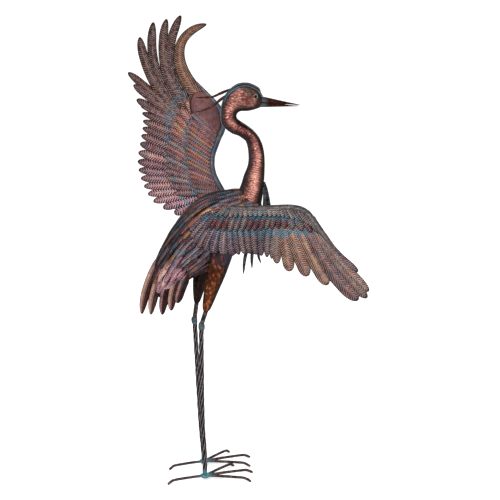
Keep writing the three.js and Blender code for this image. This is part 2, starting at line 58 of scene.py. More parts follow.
# Body and neck: stations [x, z, half depth, half width].
BODY_STATIONS = [
    [26, 716, 8, 9], [8, 705, 38, 30], [-25, 690, 61, 46], [-82, 655, 81, 55],
    [-141, 604, 71, 51], [-189, 555, 51, 41], [-218, 511, 35, 30], [-238, 476, 13, 13],
]
BACK_PINCH = 0.16
NECK_STATIONS = [
    [-8, 706, 36, 30], [4, 744, 31, 27], [10, 776, 27, 22], [16, 806, 22, 18], [17, 832, 21, 17],
    [14, 860, 21, 17], [4, 882, 20, 17], [-20, 898, 18, 16], [-48, 911, 18, 16], [-55, 932, 18, 16],
    [-50, 955, 21, 18], [-30, 975, 32.5, 21], [-6, 977.5, 35.5, 22], [14, 970, 28, 19], [28, 966, 14, 10],
]
EYE = {"x": 14, "z": 981, "y": 18.4, "radius": 4.4, "tube": 1.2}

BILL_BASE_X = 27.6
BILL_HIDDEN = 8
BILL_GAP = 0.9
BILL_OPENS = 100
UPPER_BILL = {"z": 973.5, "tip": [125, 959.6], "depth": 7.4, "width": 8.6}
LOWER_BILL = {"z": 959.6, "tip": [121, 956.8], "depth": 5.7, "width": 7.6}

# Half widths of a plume at its root and tip, and the share of the first that its very root has.
CREST_WIDTHS = (4.6, 1.4, 0.4)
BREAST_WIDTHS = (5, 4.6, 0.8)
CREST_PLUMES = {
    "crest_plume_upper": [[-46, 3, 1000], [-75, 3, 987.5], [-97, 3, 979], [-137, 3, 977.5]],
    "crest_plume_lower": [[-50, -6, 990], [-72, -7, 974], [-90, -8, 960], [-118, -10, 946], [-150, -10, 941]],
}
BREAST_PLUMES = {
    "breast_plume_front": [
        [34, -4, 768], [41, -5, 746], [45.5, -6, 722], [48, -7, 696], [43, -7, 640], [22, -6, 588],
        [28, -6, 558],
    ],
    "breast_plume_left": [
        [33, 5, 754], [39, 9, 722], [40, 12, 680], [20, 13, 625], [6, 11, 582], [5, 10, 542],
    ],
    "breast_plume_right": [
        [35, -12, 755], [37, -17, 730], [35, -20, 700], [22, -21, 650], [-9, -18, 590], [-17, -15, 532],
    ],
}

# Wings: long feathers of the hand are [root, tip, bow, half width], and a back is its roots and tips. The
# layers of feathers lie a step above each other. EDGE_LIFT is that of the rolled edge.
LAYER_STEP = 4.8
EDGE_LIFT = 8.6
RIGHT_HAND = [
    [[150, 693], [260, 568], -18, 12], [[148, 686], [285, 523], -12, 15],
    [[140, 682], [281, 507], -12, 17], [[128, 680], [260, 500], -16, 21],
    [[114, 678], [189, 532], -6, 19], [[98, 678], [141, 550], -6, 19],
    [[82, 678], [98, 559], -2, 18], [[66, 678], [66, 576], 0, 13],
]
RIGHT_HAND_BACK = [[138, 690], [100, 686], [60, 684]], [[232, 585], [150, 590], [70, 596]]
RIGHT_ARM = {
    "roots": [[76, 678], [20, 676], [-30, 677], [-62, 681], [-80, 690], [-88, 704]],
    "tips": [[56, 586], [27, 593], [-9, 597], [-45, 592], [-105, 600], [-141, 621], [-151, 655]],
    "count": 15, "bow": -3,
}
RIGHT_GREATER = {
    "roots": [[-84, 692], [-30, 696], [40, 698], [90, 699], [144, 694]],
    "tips": [[-112, 655], [-50, 649], [20, 652], [88, 660], [178, 652]],
    "count": 18, "bow": -2,
}
RIGHT_LESSER = {
    "roots": [[-60, 704], [-10, 702], [60, 703], [106, 706], [154, 692]],
    "tips": [[-88, 682], [-30, 681], [32, 684], [86, 684], [142, 672], [176, 648]],
    "count": 24, "bow": -2,
}
RIGHT_EDGE = {
    "line": [[-78, 706], [-25, 702], [0, 701], [52, 704], [100, 707], [132, 702], [152, 686], [177, 652],
             [208, 616]],
    "wide": [2, 6, 7, 7, 7, 1.5], "thick": [1, 3, 4, 4, 4, 1], "verdigris": -0.1,
}
LEFT_FIRST = [[-97, 947], [-203, 1028], [-223, 1138], [-114, 1164]]
LEFT_FIRST_WIDTHS = (23, 10)
LEFT_HAND = [
    [[-125, 935], [-183, 1188], 74, 15], [[-138, 925], [-221, 1179], 56, 15],
    [[-148, 915], [-257, 1171], 57, 15.5], [[-150, 907], [-294, 1132], 39, 15.5],
    [[-150, 884], [-325, 1039], -7, 12.5], [[-156, 885], [-309, 1007], -4, 13],
    [[-160, 880], [-300, 969], -4, 13],
]
LEFT_HAND_BACK = [[-112, 945], [-130, 925], [-150, 895]], [[-180, 1150], [-221, 1160], [-275, 1110]]
LEFT_ARM = {
    "roots": [[-130, 900], [-150, 850], [-150, 800], [-145, 765], [-130, 735], [-110, 712]],
    "tips": [[-289, 956], [-282, 912], [-288, 864], [-295, 807], [-281, 754], [-250, 707], [-184, 674]],
    "count": 15, "bow": -2,
}
LEFT_GREATER = {
    "roots": [[-108, 930], [-146, 882], [-146, 834], [-138, 790], [-125, 758], [-112, 728]],
    "tips": [[-150, 985], [-190, 930], [-214, 880], [-222, 835], [-222, 780], [-190, 722]],
    "count": 16, "bow": -2,
    "shades": [0.3, 0.9, 0.6, 0.62, 0.95, 0.6, 0.2, 0.75, 0.66, 0.3, 0.75, 0.2, 0.4, 0.8, 0.3, 0.5],
}
LEFT_LESSER = {
    "roots": [[-84, 886], [-90, 846], [-97, 810], [-94, 776], [-82, 746], [-60, 722]],
    "tips": [[-146, 946], [-164, 898], [-168, 856], [-166, 812], [-158, 765], [-134, 718]],
    "count": 19, "bow": -2,
    "shades": [0.2, 0.6, 0.3, 0.45, 0.75, 0.6, 0.5, 0.62, 0.8, 0.45, 0.65, 0.75, 0.2, 0.9, 0.5, 0.1, 0.3,
               0.62, 0.2],
}
# The smooth plate over the far wing's shoulder, and the thin quills on it.
LEFT_PLATE = {
    "front": [[-112, 990], [-84, 952], [-72, 915], [-74, 882], [-88, 850]],
    "back": [[-146, 984], [-156, 958], [-150, 925], [-134, 890], [-118, 860]],
    "quills": [[[-86, 868], [-110, 918]], [[-80, 890], [-98, 934]]],
}
LEFT_EDGE = {
    "line": [[-138, 1011], [-107, 979], [-82, 950], [-70, 923], [-69, 895], [-82, 864], [-96, 821],
             [-93, 781], [-72, 740], [-54, 714], [-50, 690]],
    "wide": [3, 7, 7, 7, 7], "thick": [1, 4, 4, 4, 4], "verdigris": 0.6,
}

TAIL_ROOTS = [[-215, 588], [-204, 572], [-190, 556], [-175, 545], [-158, 536]]
TAIL_TIPS = [[-278, 427], [-254, 427], [-224, 428], [-201, 440], [-185, 460]]
TAIL_BOW = [-16, -13, -10, -8, -3]
TAIL_SPREAD = [9, 17, 24, 29, 32]
TAIL_WIDTHS = (13, 10.5)

# dark is how much painted shadow lies on the thigh's inner side.
RIGHT_LEG = {
    "thigh": [[-56, 646, 10, -30], [-65, 612, 27, -38], [-80, 556, 25, -46], [-97, 500, 18.5, -51],
              [-109, 456, 11.5, -54], [-112, 443, 5.5, -55]],
    "y": -56, "shank": [[-112, 443], [-121, 415]], "knee": [-122.5, 405],
    "bar": [[-123, 396], [-123.5, 344], [-122, 159], [-117.5, 78], [-116.5, 9]],
    "dark": 0.0, "foot": [-116.5, -56], "toes": [[-210, -97], [3, -77], [7, -10], [-43, 40]],
}
LEFT_LEG = {
    "thigh": [[-90, 634, 10, 28], [-104, 596, 25, 36], [-121, 540, 24, 43], [-131, 500, 18.5, 47],
              [-138, 456, 10.5, 50], [-140, 443, 5.5, 51]],
    "y": 51, "shank": [[-140, 443], [-145, 406]], "knee": [-146, 397],
    "bar": [[-145, 388], [-141.5, 316], [-132, 124], [-125.5, 41], [-123.5, 9]],
    "dark": 0.9, "foot": [-123.5, 51], "toes": [[-214, 9], [1, 34], [0, 106], [-57, 147]],
}
THIGH_FLATNESS = 0.92
SHANK_RADIUS = 5.9
KNEE = {"radius": 8.1, "half": 11.5, "patina": 0.24}
BAR = {"radius": 6.4, "flutes": 5, "depth": 1.4, "turn_length": 150}
WELD = {"radius": 12.5, "height": 6.6, "z": 10}
TOE_NAMES = ["back_toe", "outer_toe", "middle_toe", "inner_toe"]
TOE_RADIUS = 3.6
TOE_LINE = [[0.02, 10], [0.4, 11], [0.81, 10.5], [0.91, 7.6], [1, 1.2]]

# Pressed barbs of a feather.
BARB = {"pitch": 5.7, "depth": 1.0, "slant": 0.8}


def spline(points, t):
    """A smooth line through evenly spaced points, at t from 0 to 1."""
    points = np.asarray(points, float)
    last = len(points) - 1
    place = np.clip(np.asarray(t, float), 0, 1) * last
    i = np.minimum(place.astype(int), last - 1)
    w = (place - i)[..., None]
    before, start = points[np.maximum(i - 1, 0)], points[i]
    end, after = points[i + 1], points[np.minimum(i + 2, last)]
    leave, arrive = (end - before) / 2, (after - start) / 2
    cubic = 2 * start - 2 * end + leave + arrive
    square = 3 * end - 3 * start - 2 * leave - arrive
    return ((cubic * w + square) * w + leave) * w + start


def bezier(points, t):
    a, b, c, d = (np.asarray(p, float) for p in points)
    t = np.asarray(t, float)[..., None]
    u = 1 - t
    return u**3 * a + 3 * u * u * t * b + 3 * u * t * t * c + t**3 * d


def bowed(root, tip, bow, t):
    """A flat curve from root to tip that bows to one side."""
    root, tip = np.asarray(root, float), np.asarray(tip, float)
    run = tip - root
    aside = np.array([-run[1], run[0]]) / np.hypot(*run) * bow
    return bezier([root, root + run / 3 + aside, root + run * 2 / 3 + aside, tip], t)


def unit(v):
    return v / np.maximum(np.linalg.norm(v, axis=-1, keepdims=True), 1e-9)


def fade(value, start, end):
    """0 on start's side, 1 on end's side, and even between them."""
    return np.clip((value - start) / (end - start), 0, 1)


def run_along(points):
    """How far along a line of points each one is."""
    return np.concatenate([[0], np.cumsum(np.linalg.norm(np.diff(points, axis=0), axis=1))])


def read_at(at, run, rows):
    """The rows, which are known at each run, at other places."""
    return np.stack([np.interp(at, run, column) for column in rows.T], axis=-1)


def line_ways(points, outward):
    """The ways to the side of a line and up from it, at each of its points."""
    tangent = unit(np.gradient(points, axis=0))
    aside = unit(np.cross(tangent, outward))
    return aside, np.cross(aside, tangent)


def ring_angles(sides):
    return np.linspace(0, 2 * math.pi, sides, endpoint=False)


def waves(points, size, seed):
    """A smooth uneven field from -1 to 1 over points, with lumps of about the given size."""
    field = np.zeros(points.shape[:-1])
    random = np.random.default_rng(seed)
    count = 5
    for _ in range(count):
        way = unit(random.normal(size=3))
        rate = 2 * math.pi / size
        field += np.sin(points @ way * rate * random.uniform(0.7, 1.5) + random.uniform(0, 6.3))
    return field / count


def right_depth(x, z):
    """Where the near wing's sheet lies along Y."""
    down = np.maximum(0, 716 - z)
    out = (x + np.hypot(x, 30) - 30) / 2
    return -(34 + 46 * (1 - np.exp(-down / 60)) + 0.12 * down + 0.33 * out)


def left_depth(x, z):
    """Where the far wing's sheet lies along Y."""
    back = -70 - x
    return 50 + 0.3 * (z - 745) + 0.1 * back + 0.0005 * back * back


def sheet_normal(depth, x, z):
    step = 0.5
    slope_x = (depth(x + step, z) - depth(x - step, z)) / (2 * step)
    slope_z = (depth(x, z + step) - depth(x, z - step)) / (2 * step)
    return unit(np.stack([slope_x, -np.ones_like(slope_x), slope_z], axis=-1))


def on_sheet(depth, flat, lift):
    x, z = flat[..., 0], flat[..., 1]
    return np.stack([x, depth(x, z), z], axis=-1) + sheet_normal(depth, x, z) * lift


def add_object(name, data):
    made = bpy.data.objects.new(name, data)
    bpy.context.scene.collection.objects.link(made)
    return made


class Piece:
    """The points, faces and painted values of one piece, gathered part by part."""

    VALUES = ("along", "across", "groove", "shade", "zone", "run", "tone")

    def __init__(self):
        self.points, self.faces, self.values, self.count = [], [], {v: [] for v in self.VALUES}, 0

    def add(self, grid, caps=True, **values):
        """A grid of points as rings: each row is one closed ring."""
        rows, columns = grid.shape[:2]
        index = np.arange(rows * columns).reshape(rows, columns) + self.count
        turned = np.roll(index, -1, axis=1)
        quads = np.stack([index[:-1], turned[:-1], turned[1:], index[1:]], axis=-1).reshape(-1, 4)
        self.faces += quads.tolist()
        if caps:
            self.faces.append(index[0][::-1].tolist())
            self.faces.append(index[-1].tolist())
        self.points.append(grid.reshape(-1, 3))
        values = {"tone": 1.0, **values}
        for name in self.VALUES:
            value = np.broadcast_to(values.get(name, 0.0), (rows, columns))
            self.values[name].append(value.reshape(-1))
        self.count += rows * columns

    def make(self, name, nodes, slot, material):
        mesh = bpy.data.meshes.new(name)
        points = (np.concatenate(self.points) + SHIFT) * MM
        mesh.from_pydata(points.tolist(), [], self.faces)
        for value in self.VALUES:
            attribute = mesh.attributes.new(value, "FLOAT", "POINT")
            attribute.data.foreach_set("value", np.concatenate(self.values[value]).astype(np.float32))
        mesh.polygons.foreach_set("use_smooth", np.ones(len(mesh.polygons), bool))
        mesh.update()
        mesh.materials.append(material)
        piece = add_object(name, mesh)
        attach(piece, "root")
        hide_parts(*nodes)


# Where the columns of points stand across a feather, from -1 to 1, on its top and then on its under side.
FULL_COLUMNS = (np.array([-1, -0.84, -0.56, -0.28, -0.07, 0, 0.07, 0.28, 0.56, 0.84, 1]),
                np.array([0.6, 0, -0.6]))
FEW_COLUMNS = (np.array([-1, -0.6, -0.12, 0, 0.12, 0.6, 1]), np.array([0.5, -0.5]))
ROWS_PER_BARB = 4
BARB_RELIEF = np.array([0.0, 0.62, 1.0, 0.5])
UNDER_GROOVE = 0.33
SHAFT_REACH = 0.04
EDGE_THICKNESS = 0.15
BACKING = 2.2
# How much the feathers of a row overlap, and where the first stands, as a share of their distance.
ROW_OVERLAP = 1.28
ROW_START = 0.4


def feather(piece, quill, outward, wide, slim, *, crest=1.6, lean=0.0, tip_round=0.22, root_share=0.6,
            barb=1.0, rachis=0.7, pitch=BARB["pitch"], rows_per_barb=ROWS_PER_BARB, thick=0.9, zone=0.0,
            shade=None, tone=1.0, columns=FULL_COLUMNS, run_scale=1.0):
    """A pressed feather round its quill, with a raised shaft and slanting barbs on both sides. Its rows of
    points lie along the barbs. outward is a way or gives it for points, and zone and tone may be functions
    of the share along the feather and the side."""
    samples = 120
    dense = quill(np.linspace(0, 1, samples))
    dense_run = run_along(dense)
    side_way, up_way = line_ways(dense, outward(dense) if callable(outward) else outward)
    length = dense_run[-1]
    barbs = max(2, int(round(length / pitch)))
    rows = barbs * rows_per_barb
    run = np.linspace(0, length, rows + 1)

    def half_width(at):
        t = at / length
        tip = np.maximum(0.05, np.sqrt(1 - fade(t, 1 - tip_round, 1) ** 2))
        return (wide + (slim - wide) * t) * tip * (root_share + (1 - root_share) * np.minimum(1, t / 0.25))

    top, under = columns
    side = np.concatenate([top, under])[None, :]
    room = (length - run)[:, None]
    forward = BARB["slant"] * np.abs(side) * half_width(run)[:, None]
    at = run[:, None] + forward * room / (room + forward + 1e-6)
    half = half_width(at)
    centre = read_at(at, dense_run, dense)
    across, up = (unit(read_at(at, dense_run, way)) for way in (side_way, up_way))
    low = 0.4 + 0.6 * np.clip(half / slim, 0, 1)
    step = np.arange(rows + 1) % rows_per_barb / rows_per_barb
    relief = np.interp(step, np.arange(ROWS_PER_BARB) / ROWS_PER_BARB, BARB_RELIEF)[:, None]
    off = np.abs(side)
    blade = fade(off, 0.05, 0.2)
    height = crest * low * (1 - off**1.6) + BARB["depth"] * barb * (relief - 0.5) * blade * low
    height = height + rachis * low * (off < SHAFT_REACH)
    is_under = (np.arange(side.shape[1]) >= len(top))[None, :]
    height = np.where(is_under, -thick * low * (1 - side**2) - EDGE_THICKNESS, height) + lean * side * low
    grid = centre + across * (half * side)[..., None] + up * height[..., None]
    groove = np.where(is_under, UNDER_GROOVE, (1 - relief) * blade * min(1, 2 * barb))
    zone, tone = (v(at / length, side) if callable(v) else v for v in (zone, tone))
    piece.add(grid, along=at / length, across=off, groove=groove, zone=zone, run=at * run_scale, tone=tone,
              shade=RANDOM.uniform() if shade is None else shade)


def sheet_feather(piece, curve, depth, lift, wide, slim, **how):
    """A feather on a wing sheet, along a flat curve or along a bowed one given as (root, tip, bow)."""
    flat = curve if callable(curve) else lambda t: bowed(*curve, t)
    feather(piece, lambda t: on_sheet(depth, flat(t), lift),
            lambda p: sheet_normal(depth, p[:, 0], p[:, 2]), wide, slim, **how)


def feather_row(piece, depth, lift, row, *, zones=(0, 0), run_scales=(1, 1), **how):
    """A row of single feathers between a line of roots and a line of tips, over a thin backing sheet. The
    row may choose its feathers' shades."""
    count, bow = row["count"], row["bow"]
    shades = row.get("shades", [None] * count)
    at = (np.arange(count) + ROW_START) / count
    roots, tips = spline(row["roots"], at), spline(row["tips"], at)
    run, line = unit(tips - roots), unit(np.gradient(tips, axis=0))
    square = np.maximum(0.5, np.abs(run[:, 0] * line[:, 1] - run[:, 1] * line[:, 0]))
    half_root, half = (ROW_OVERLAP * np.linalg.norm(np.gradient(ends, axis=0), axis=1) * square / 2
                       for ends in (roots, tips))
    half_root = np.maximum(half_root, 0.55 * half)
    for i in range(count):
        zone, run_scale = (a + (b - a) * at[i] for a, b in (zones, run_scales))
        sheet_feather(piece, (roots[i], tips[i], bow), depth, lift, half_root[i], half[i], zone=zone,
                      run_scale=run_scale, shade=shades[i], **how)
    backing(piece, depth, lift - 0.9, row["roots"], row["tips"], 0.8, feathers=count)


def add_plate(piece, depth, flat, top, under, **values):
    """A closed plate over a grid on a wing sheet, between two lifts."""
    front, back = on_sheet(depth, flat, top), on_sheet(depth, flat, under)
    piece.add(np.concatenate([front, back[:, ::-1]], axis=1), across=0.5, along=0.5, **values)


def backing(piece, depth, lift, roots, tips, reach, bow=0.0, feathers=12):
    """A thin plate that carries a row of feathers from behind, with a pleat for each feather on its back."""
    along, out = np.linspace(0, 1, 9 * feathers), np.linspace(0, 1, 7)
    place = feathers * along + 0.5 - ROW_START
    pleat = np.abs(np.sin(math.pi * place))[:, None]
    ends = zip(spline(roots, along), spline(tips, along), pleat)
    flat = np.stack([bowed(a, b, bow, out * reach * (0.9 + 0.1 * p)) for a, b, p in ends])
    # groove paints shade into the creases between the pleats.
    add_plate(piece, depth, flat, lift, lift - BACKING * (0.4 + 0.6 * pleat[..., None]), run=200.0, tone=0.85,
              groove=0.25 + 0.6 * (1 - pleat) ** 3, shade=(np.floor(place) * 0.37 % 1)[:, None])


def build_plate(piece, depth, lift, plate):
    """A smooth crowned plate with thin quills lying on it."""
    along, out = np.linspace(0, 1, 40), np.linspace(0, 1, 13)
    first, last = spline(plate["front"], along), spline(plate["back"], along)
    flat = first[:, None] + (last - first)[:, None] * out[None, :, None]
    crown = 1.6 * np.sin(math.pi * out)[None, :, None] ** 0.7
    add_plate(piece, depth, flat, lift + crown, lift - 0.8, run=40.0, shade=0.3, groove=0.4, tone=0.62,
              zone=0.85)
    for root, tip in plate["quills"]:
        sheet_feather(piece, (root, tip, 3), depth, lift + 1.7, 1.6, 1.0, crest=0.9, barb=0.0, shade=0.35,
                      tone=1.2)


def tube(piece, centre, side, up, half, high, sides, **values):
    """A closed form round a line, given its half width and half height along it."""
    angle = ring_angles(sides)
    grid = (centre[:, None] + side[:, None] * (np.cos(angle) * half[:, None])[..., None]
            + up[:, None] * (np.sin(angle) * high[:, None])[..., None])
    piece.add(grid, **values)


def edge_roll(depth, edge):
    """The smooth rolled front edge of a wing, with patches of verdigris."""
    piece = Piece()
    t, sides = np.linspace(0, 1, 150), 18
    line = spline(edge["line"], t)
    centre = on_sheet(depth, line, EDGE_LIFT)
    across, up = line_ways(centre, sheet_normal(depth, centre[:, 0], centre[:, 2]))
    wide, thick = (spline(np.array(edge[k])[:, None], t)[:, 0] for k in ("wide", "thick"))
    hammered = 1 + 0.05 * waves(centre, 16, 5)
    patches = np.clip(edge["verdigris"] + 0.6 * waves(centre, 60, 6), 0, 1)[:, None]
    tube(piece, centre, across, up, wide * hammered, thick * hammered, sides, zone=patches)
    under = on_sheet(depth, line, EDGE_LIFT / 2 - 0.6)
    tube(piece, under, across, up, wide * 0.6, thick * 1.15, sides, zone=patches)
    return piece


def form_points(stations, t, angle, grow=0.0, width_at=None):
    """Points on an upright form: stations are [x, z, half depth, half width, y]."""
    stations = np.asarray(stations, float)
    here = spline(stations, t)
    step = 1e-3
    along = unit((spline(stations, t + step) - spline(stations, t - step))[:, :2])
    across = np.stack([along[:, 1], np.zeros(len(t)), -along[:, 0]], axis=-1)
    depth, width = here[:, 2, None] + grow, here[:, 3, None] + grow
    angle = np.atleast_2d(angle)
    bend, lean = np.cos(angle), np.sin(angle)
    if width_at:
        width = width * width_at(bend)
    y = here[:, 4, None] if stations.shape[1] > 4 else 0.0
    points = across[:, None] * (bend * depth)[..., None]
    points[..., 0] += here[:, 0, None]
    points[..., 1] += lean * width + y
    points[..., 2] += here[:, 1, None]
    return points


def back_width(up):
    return 1 - BACK_PINCH * np.maximum(0, up)


def outward_from(line, points, level=1.0):
    """The way out of an upright form at each point, away from its middle line."""
    gap = points[:, None, [0, 2]] - line[None, :, :2]
    centre = line[np.argmin((gap**2).sum(-1), axis=1)]
    return unit(np.stack([points[:, 0] - centre[:, 0], points[:, 1] * level, points[:, 2] - centre[:, 1]],
                         axis=-1))


# Materials: colours as 0 to 255 display values.
TEAL = (28, 100, 118)
DEEP_TEAL = (16, 58, 70)
SLATE = (66, 84, 112)
PAINTED_SHADE = (10, 8, 9)
BURNT = (166, 80, 40)
AMBER = (170, 112, 48)
OXBLOOD = (104, 28, 28)
SEA = (48, 104, 120)
STEEL = (104, 98, 96)
ROSE = (160, 88, 98)
VIOLET_GREY = (98, 90, 116)
OLIVE = (116, 112, 92)
# GLINT is the colour of the painted highlights on barb crests.
GLINT = (236, 214, 200)
QUILL = (168, 156, 158)
METALLIC = 0.7
EDGE_TINT = (0.25, 0.22, 0.2)
# The levels of a noise at which a palette's five tones stand.
FEATHER_LEVELS = (0.26, 0.4, 0.5, 0.6, 0.76)
HAMMERED_LEVELS = (0.28, 0.42, 0.52, 0.64, 0.78)
# How far the edges of a band of verdigris wander, in millimetres.
BAND_WANDER = 44.0


def linear(colour):
    """A display colour as the linear values a shader takes."""
    c = np.asarray(colour, float) / 255
    return (*np.where(c <= 0.04045, c / 12.92, ((c + 0.055) / 1.055) ** 2.4), 1.0)


class Value:
    """An output of a material's nodes. Sums and products of it add Math nodes."""

    def __init__(self, paint, socket):
        self.paint, self.socket = paint, socket

    def __add__(self, other):
        return self.paint.maths("ADD", self, other)

    def __sub__(self, other):
        return self.paint.maths("SUBTRACT", self, other)

    def __rsub__(self, other):
        return self.paint.maths("SUBTRACT", other, self)

    def __mul__(self, other):
        return self.paint.maths("MULTIPLY", self, other)


class Paint:
    """A small builder for one material's nodes."""

    def __init__(self, name):
        self.material = bpy.data.materials.new(name)
        self.material.use_nodes = True
        self.tree = self.material.node_tree
        self.shader = self.tree.nodes["Principled BSDF"]
        self.place = self.node("TexCoord", "Object", {})

    def feed(self, socket, value):
        if isinstance(value, Value):
            self.tree.links.new(value.socket, socket)
        else:
            socket.default_value = value

    def node(self, kind, output, inputs, **settings):
        """Adds a node and returns one of its outputs."""
        made = self.tree.nodes.new("ShaderNode" + kind)
        for key, value in settings.items():
            setattr(made, key, value)
        for key, value in inputs.items():
            self.feed(made.inputs[key], value)
        return Value(self, made.outputs[output])

    def value(self, name):
        """A value that the piece's points carry."""
        return self.node("Attribute", "Fac", {}, attribute_name=name)

    def maths(self, operation, *terms):
        return self.node("Math", 0, dict(enumerate(terms)), operation=operation)

    def step(self, value, low, high):
        """0 below low, 1 above high, smooth between."""
        return self.node("MapRange", "Result", {"Value": value, "From Min": low, "From Max": high},
                         interpolation_type="SMOOTHSTEP")

    def stretched(self, scale, turn=(0, 0, 0)):
        return self.node("Mapping", 0, {"Vector": self.place, "Rotation": turn, "Scale": scale})

    def noise(self, scale, detail=3.0, place=None):
        return self.node("TexNoise", "Fac", {"Vector": place or self.place, "Scale": scale,
                                             "Detail": detail, "Roughness": 0.55})

    def dimples(self, scale, stretch):
        return self.node("TexVoronoi", "Distance", {"Vector": self.stretched(stretch), "Scale": scale},
                         feature="SMOOTH_F1")

    def mix(self, share, a, b, blend="MIX"):
        return self.node("Mix", 2, {"Factor": share, 6: a, 7: b}, data_type="RGBA", blend_type=blend)

    def lit(self, colour, value):
        """A colour times a value."""
        grey = self.node("CombineColor", 0, dict.fromkeys(range(3), value))
        return self.mix(1.0, colour, grey, "MULTIPLY")

    def ramp(self, value, colours, blend="LINEAR"):
        made = self.node("ValToRGB", "Color", {"Fac": value})
        made.socket.node.color_ramp.interpolation = blend
        stops = made.socket.node.color_ramp.elements
        while len(stops) < len(colours):
            stops.new(0.5)
        for stop, (place, colour) in zip(stops, colours):
            stop.position = place
            stop.color = linear(colour)
        return made

    def bump(self, *layers):
        """Bumps on each other, each (height, strength, distance in metres)."""
        below = {}
        for height, strength, distance in layers:
            inputs = {"Strength": strength, "Distance": distance, "Height": height, **below}
            below = {"Normal": self.node("Bump", "Normal", inputs)}
        self.feed(self.shader.inputs["Normal"], below["Normal"])

    def finish(self, colour, rough, metallic=METALLIC):
        self.feed(self.shader.inputs["Base Color"], colour)
        self.feed(self.shader.inputs["Roughness"], rough)
        self.shader.inputs["Metallic"].default_value = metallic
        self.shader.inputs["Specular Tint"].default_value = (*EDGE_TINT, 1)
        return self.material


def feather_paint(name, tones, other, *, teal_run=(-20, -15), teal_amount=0.9, patches=0.3, groove=0.9,
                  patch_size=38, shaft=0.3, bright=1.0, own=0.22, accents=(), accent_share=0.5,
                  accent=0.85, glint=0.3, iris=0.2):
    """Patinated feathers. tones and other are two five-step palettes from dark to light, mixed by the
    painted zone, and bright is one brightness or one for each. Verdigris lies between the two runs along
    a feather, in millimetres from its root. own is how much each feather keeps a tone of its own, some
    feathers wear one of the accents, and iris is the share of a many-coloured sheen. glint is the share of
    painted highlight on the barbs' crests, groove the strength of the painted shade in their valleys, and
    the edges and tip of each feather get painted shade as well."""
    p = Paint(name)
    shade, run, across, zone = (p.value(v) for v in ("shade", "run", "across", "zone"))
    blend = p.noise(60, 4) * 0.45 + p.noise(330, 3) * 0.55 + (shade - 0.5) * own
    base = p.mix(zone, *(p.ramp(blend, list(zip(FEATHER_LEVELS, tone))) for tone in (tones, other)))
    if accents:
        first = 1 - accent_share
        stops = [(first + accent_share * k / len(accents), hue) for k, hue in enumerate(accents)]
        worn = p.step(shade, first, first + 0.01) * p.step(p.noise(90, 3), 0.43, 0.55)
        base = p.mix(worn * accent, base, p.ramp(shade, stops, "CONSTANT"))
    sheen = p.ramp(p.noise(130, 3), [(0.34, SEA), (0.46, VIOLET_GREY), (0.54, ROSE), (0.66, BURNT)])
    base = p.mix(iris, base, sheen)
    spread = (p.noise(60, 4) - 0.5) * BAND_WANDER + run
    starts, ends = teal_run
    band = p.step(spread, starts - 6, starts + 4) * (1 - p.step(spread, ends - 4, ends + 10))
    band = band * p.step(p.noise(150, 3), 0.26, 0.46)
    spots = p.step(p.noise(patch_size, 4), 0.54, 0.68)
    green = p.maths("MAXIMUM", band * teal_amount, spots * patches)
    verdigris = p.ramp(p.noise(110, 3), [(0.3, DEEP_TEAL), (0.48, TEAL), (0.7, SLATE)])
    base = p.mix(green, base, verdigris)
    lights = bright if isinstance(bright, tuple) else (bright, bright)
    # tone carries the painted shade that some pieces give their points.
    base = p.lit(base, p.value("tone") * (zone * (lights[1] - lights[0]) + lights[0]))
    # dark is painted shade, laid into the barbs' valleys and along each feather's edges and tip.
    dark = p.mix(0.95, base, linear(PAINTED_SHADE))
    # Painted highlight: the barbs' crests are lightened towards GLINT in patches.
    crown = 1 - p.step(p.value("groove"), 0.0, 0.4)
    crown = crown * p.step(p.noise(150, 3), 0.35, 0.6) * p.step(across, 0.05, 0.12)
    base = p.mix(crown * glint, base, p.mix(0.6, base, linear(GLINT)))
    # Painted shade in the barbs' valleys, weaker where verdigris lies.
    depth = (green * (-0.5 * groove) + groove) * p.step(p.value("groove"), 0.15, 0.7)
    base = p.mix(depth, base, dark)
    # Painted shade along each feather's edges and tip.
    rim = p.maths("MAXIMUM", p.step(across, 0.84, 0.97), p.step(p.value("along"), 0.95, 0.99))
    base = p.mix(rim * 0.8, base, dark)
    ridge = (1 - p.step(across, 0.03, 0.09)) * (shade * (shaft * 2))
    base = p.mix(ridge, base, linear(QUILL))
    p.bump((p.noise(900, 2), 0.3, 0.0005))
    return p.finish(base, p.noise(90, 3) * 0.25 + 0.3)


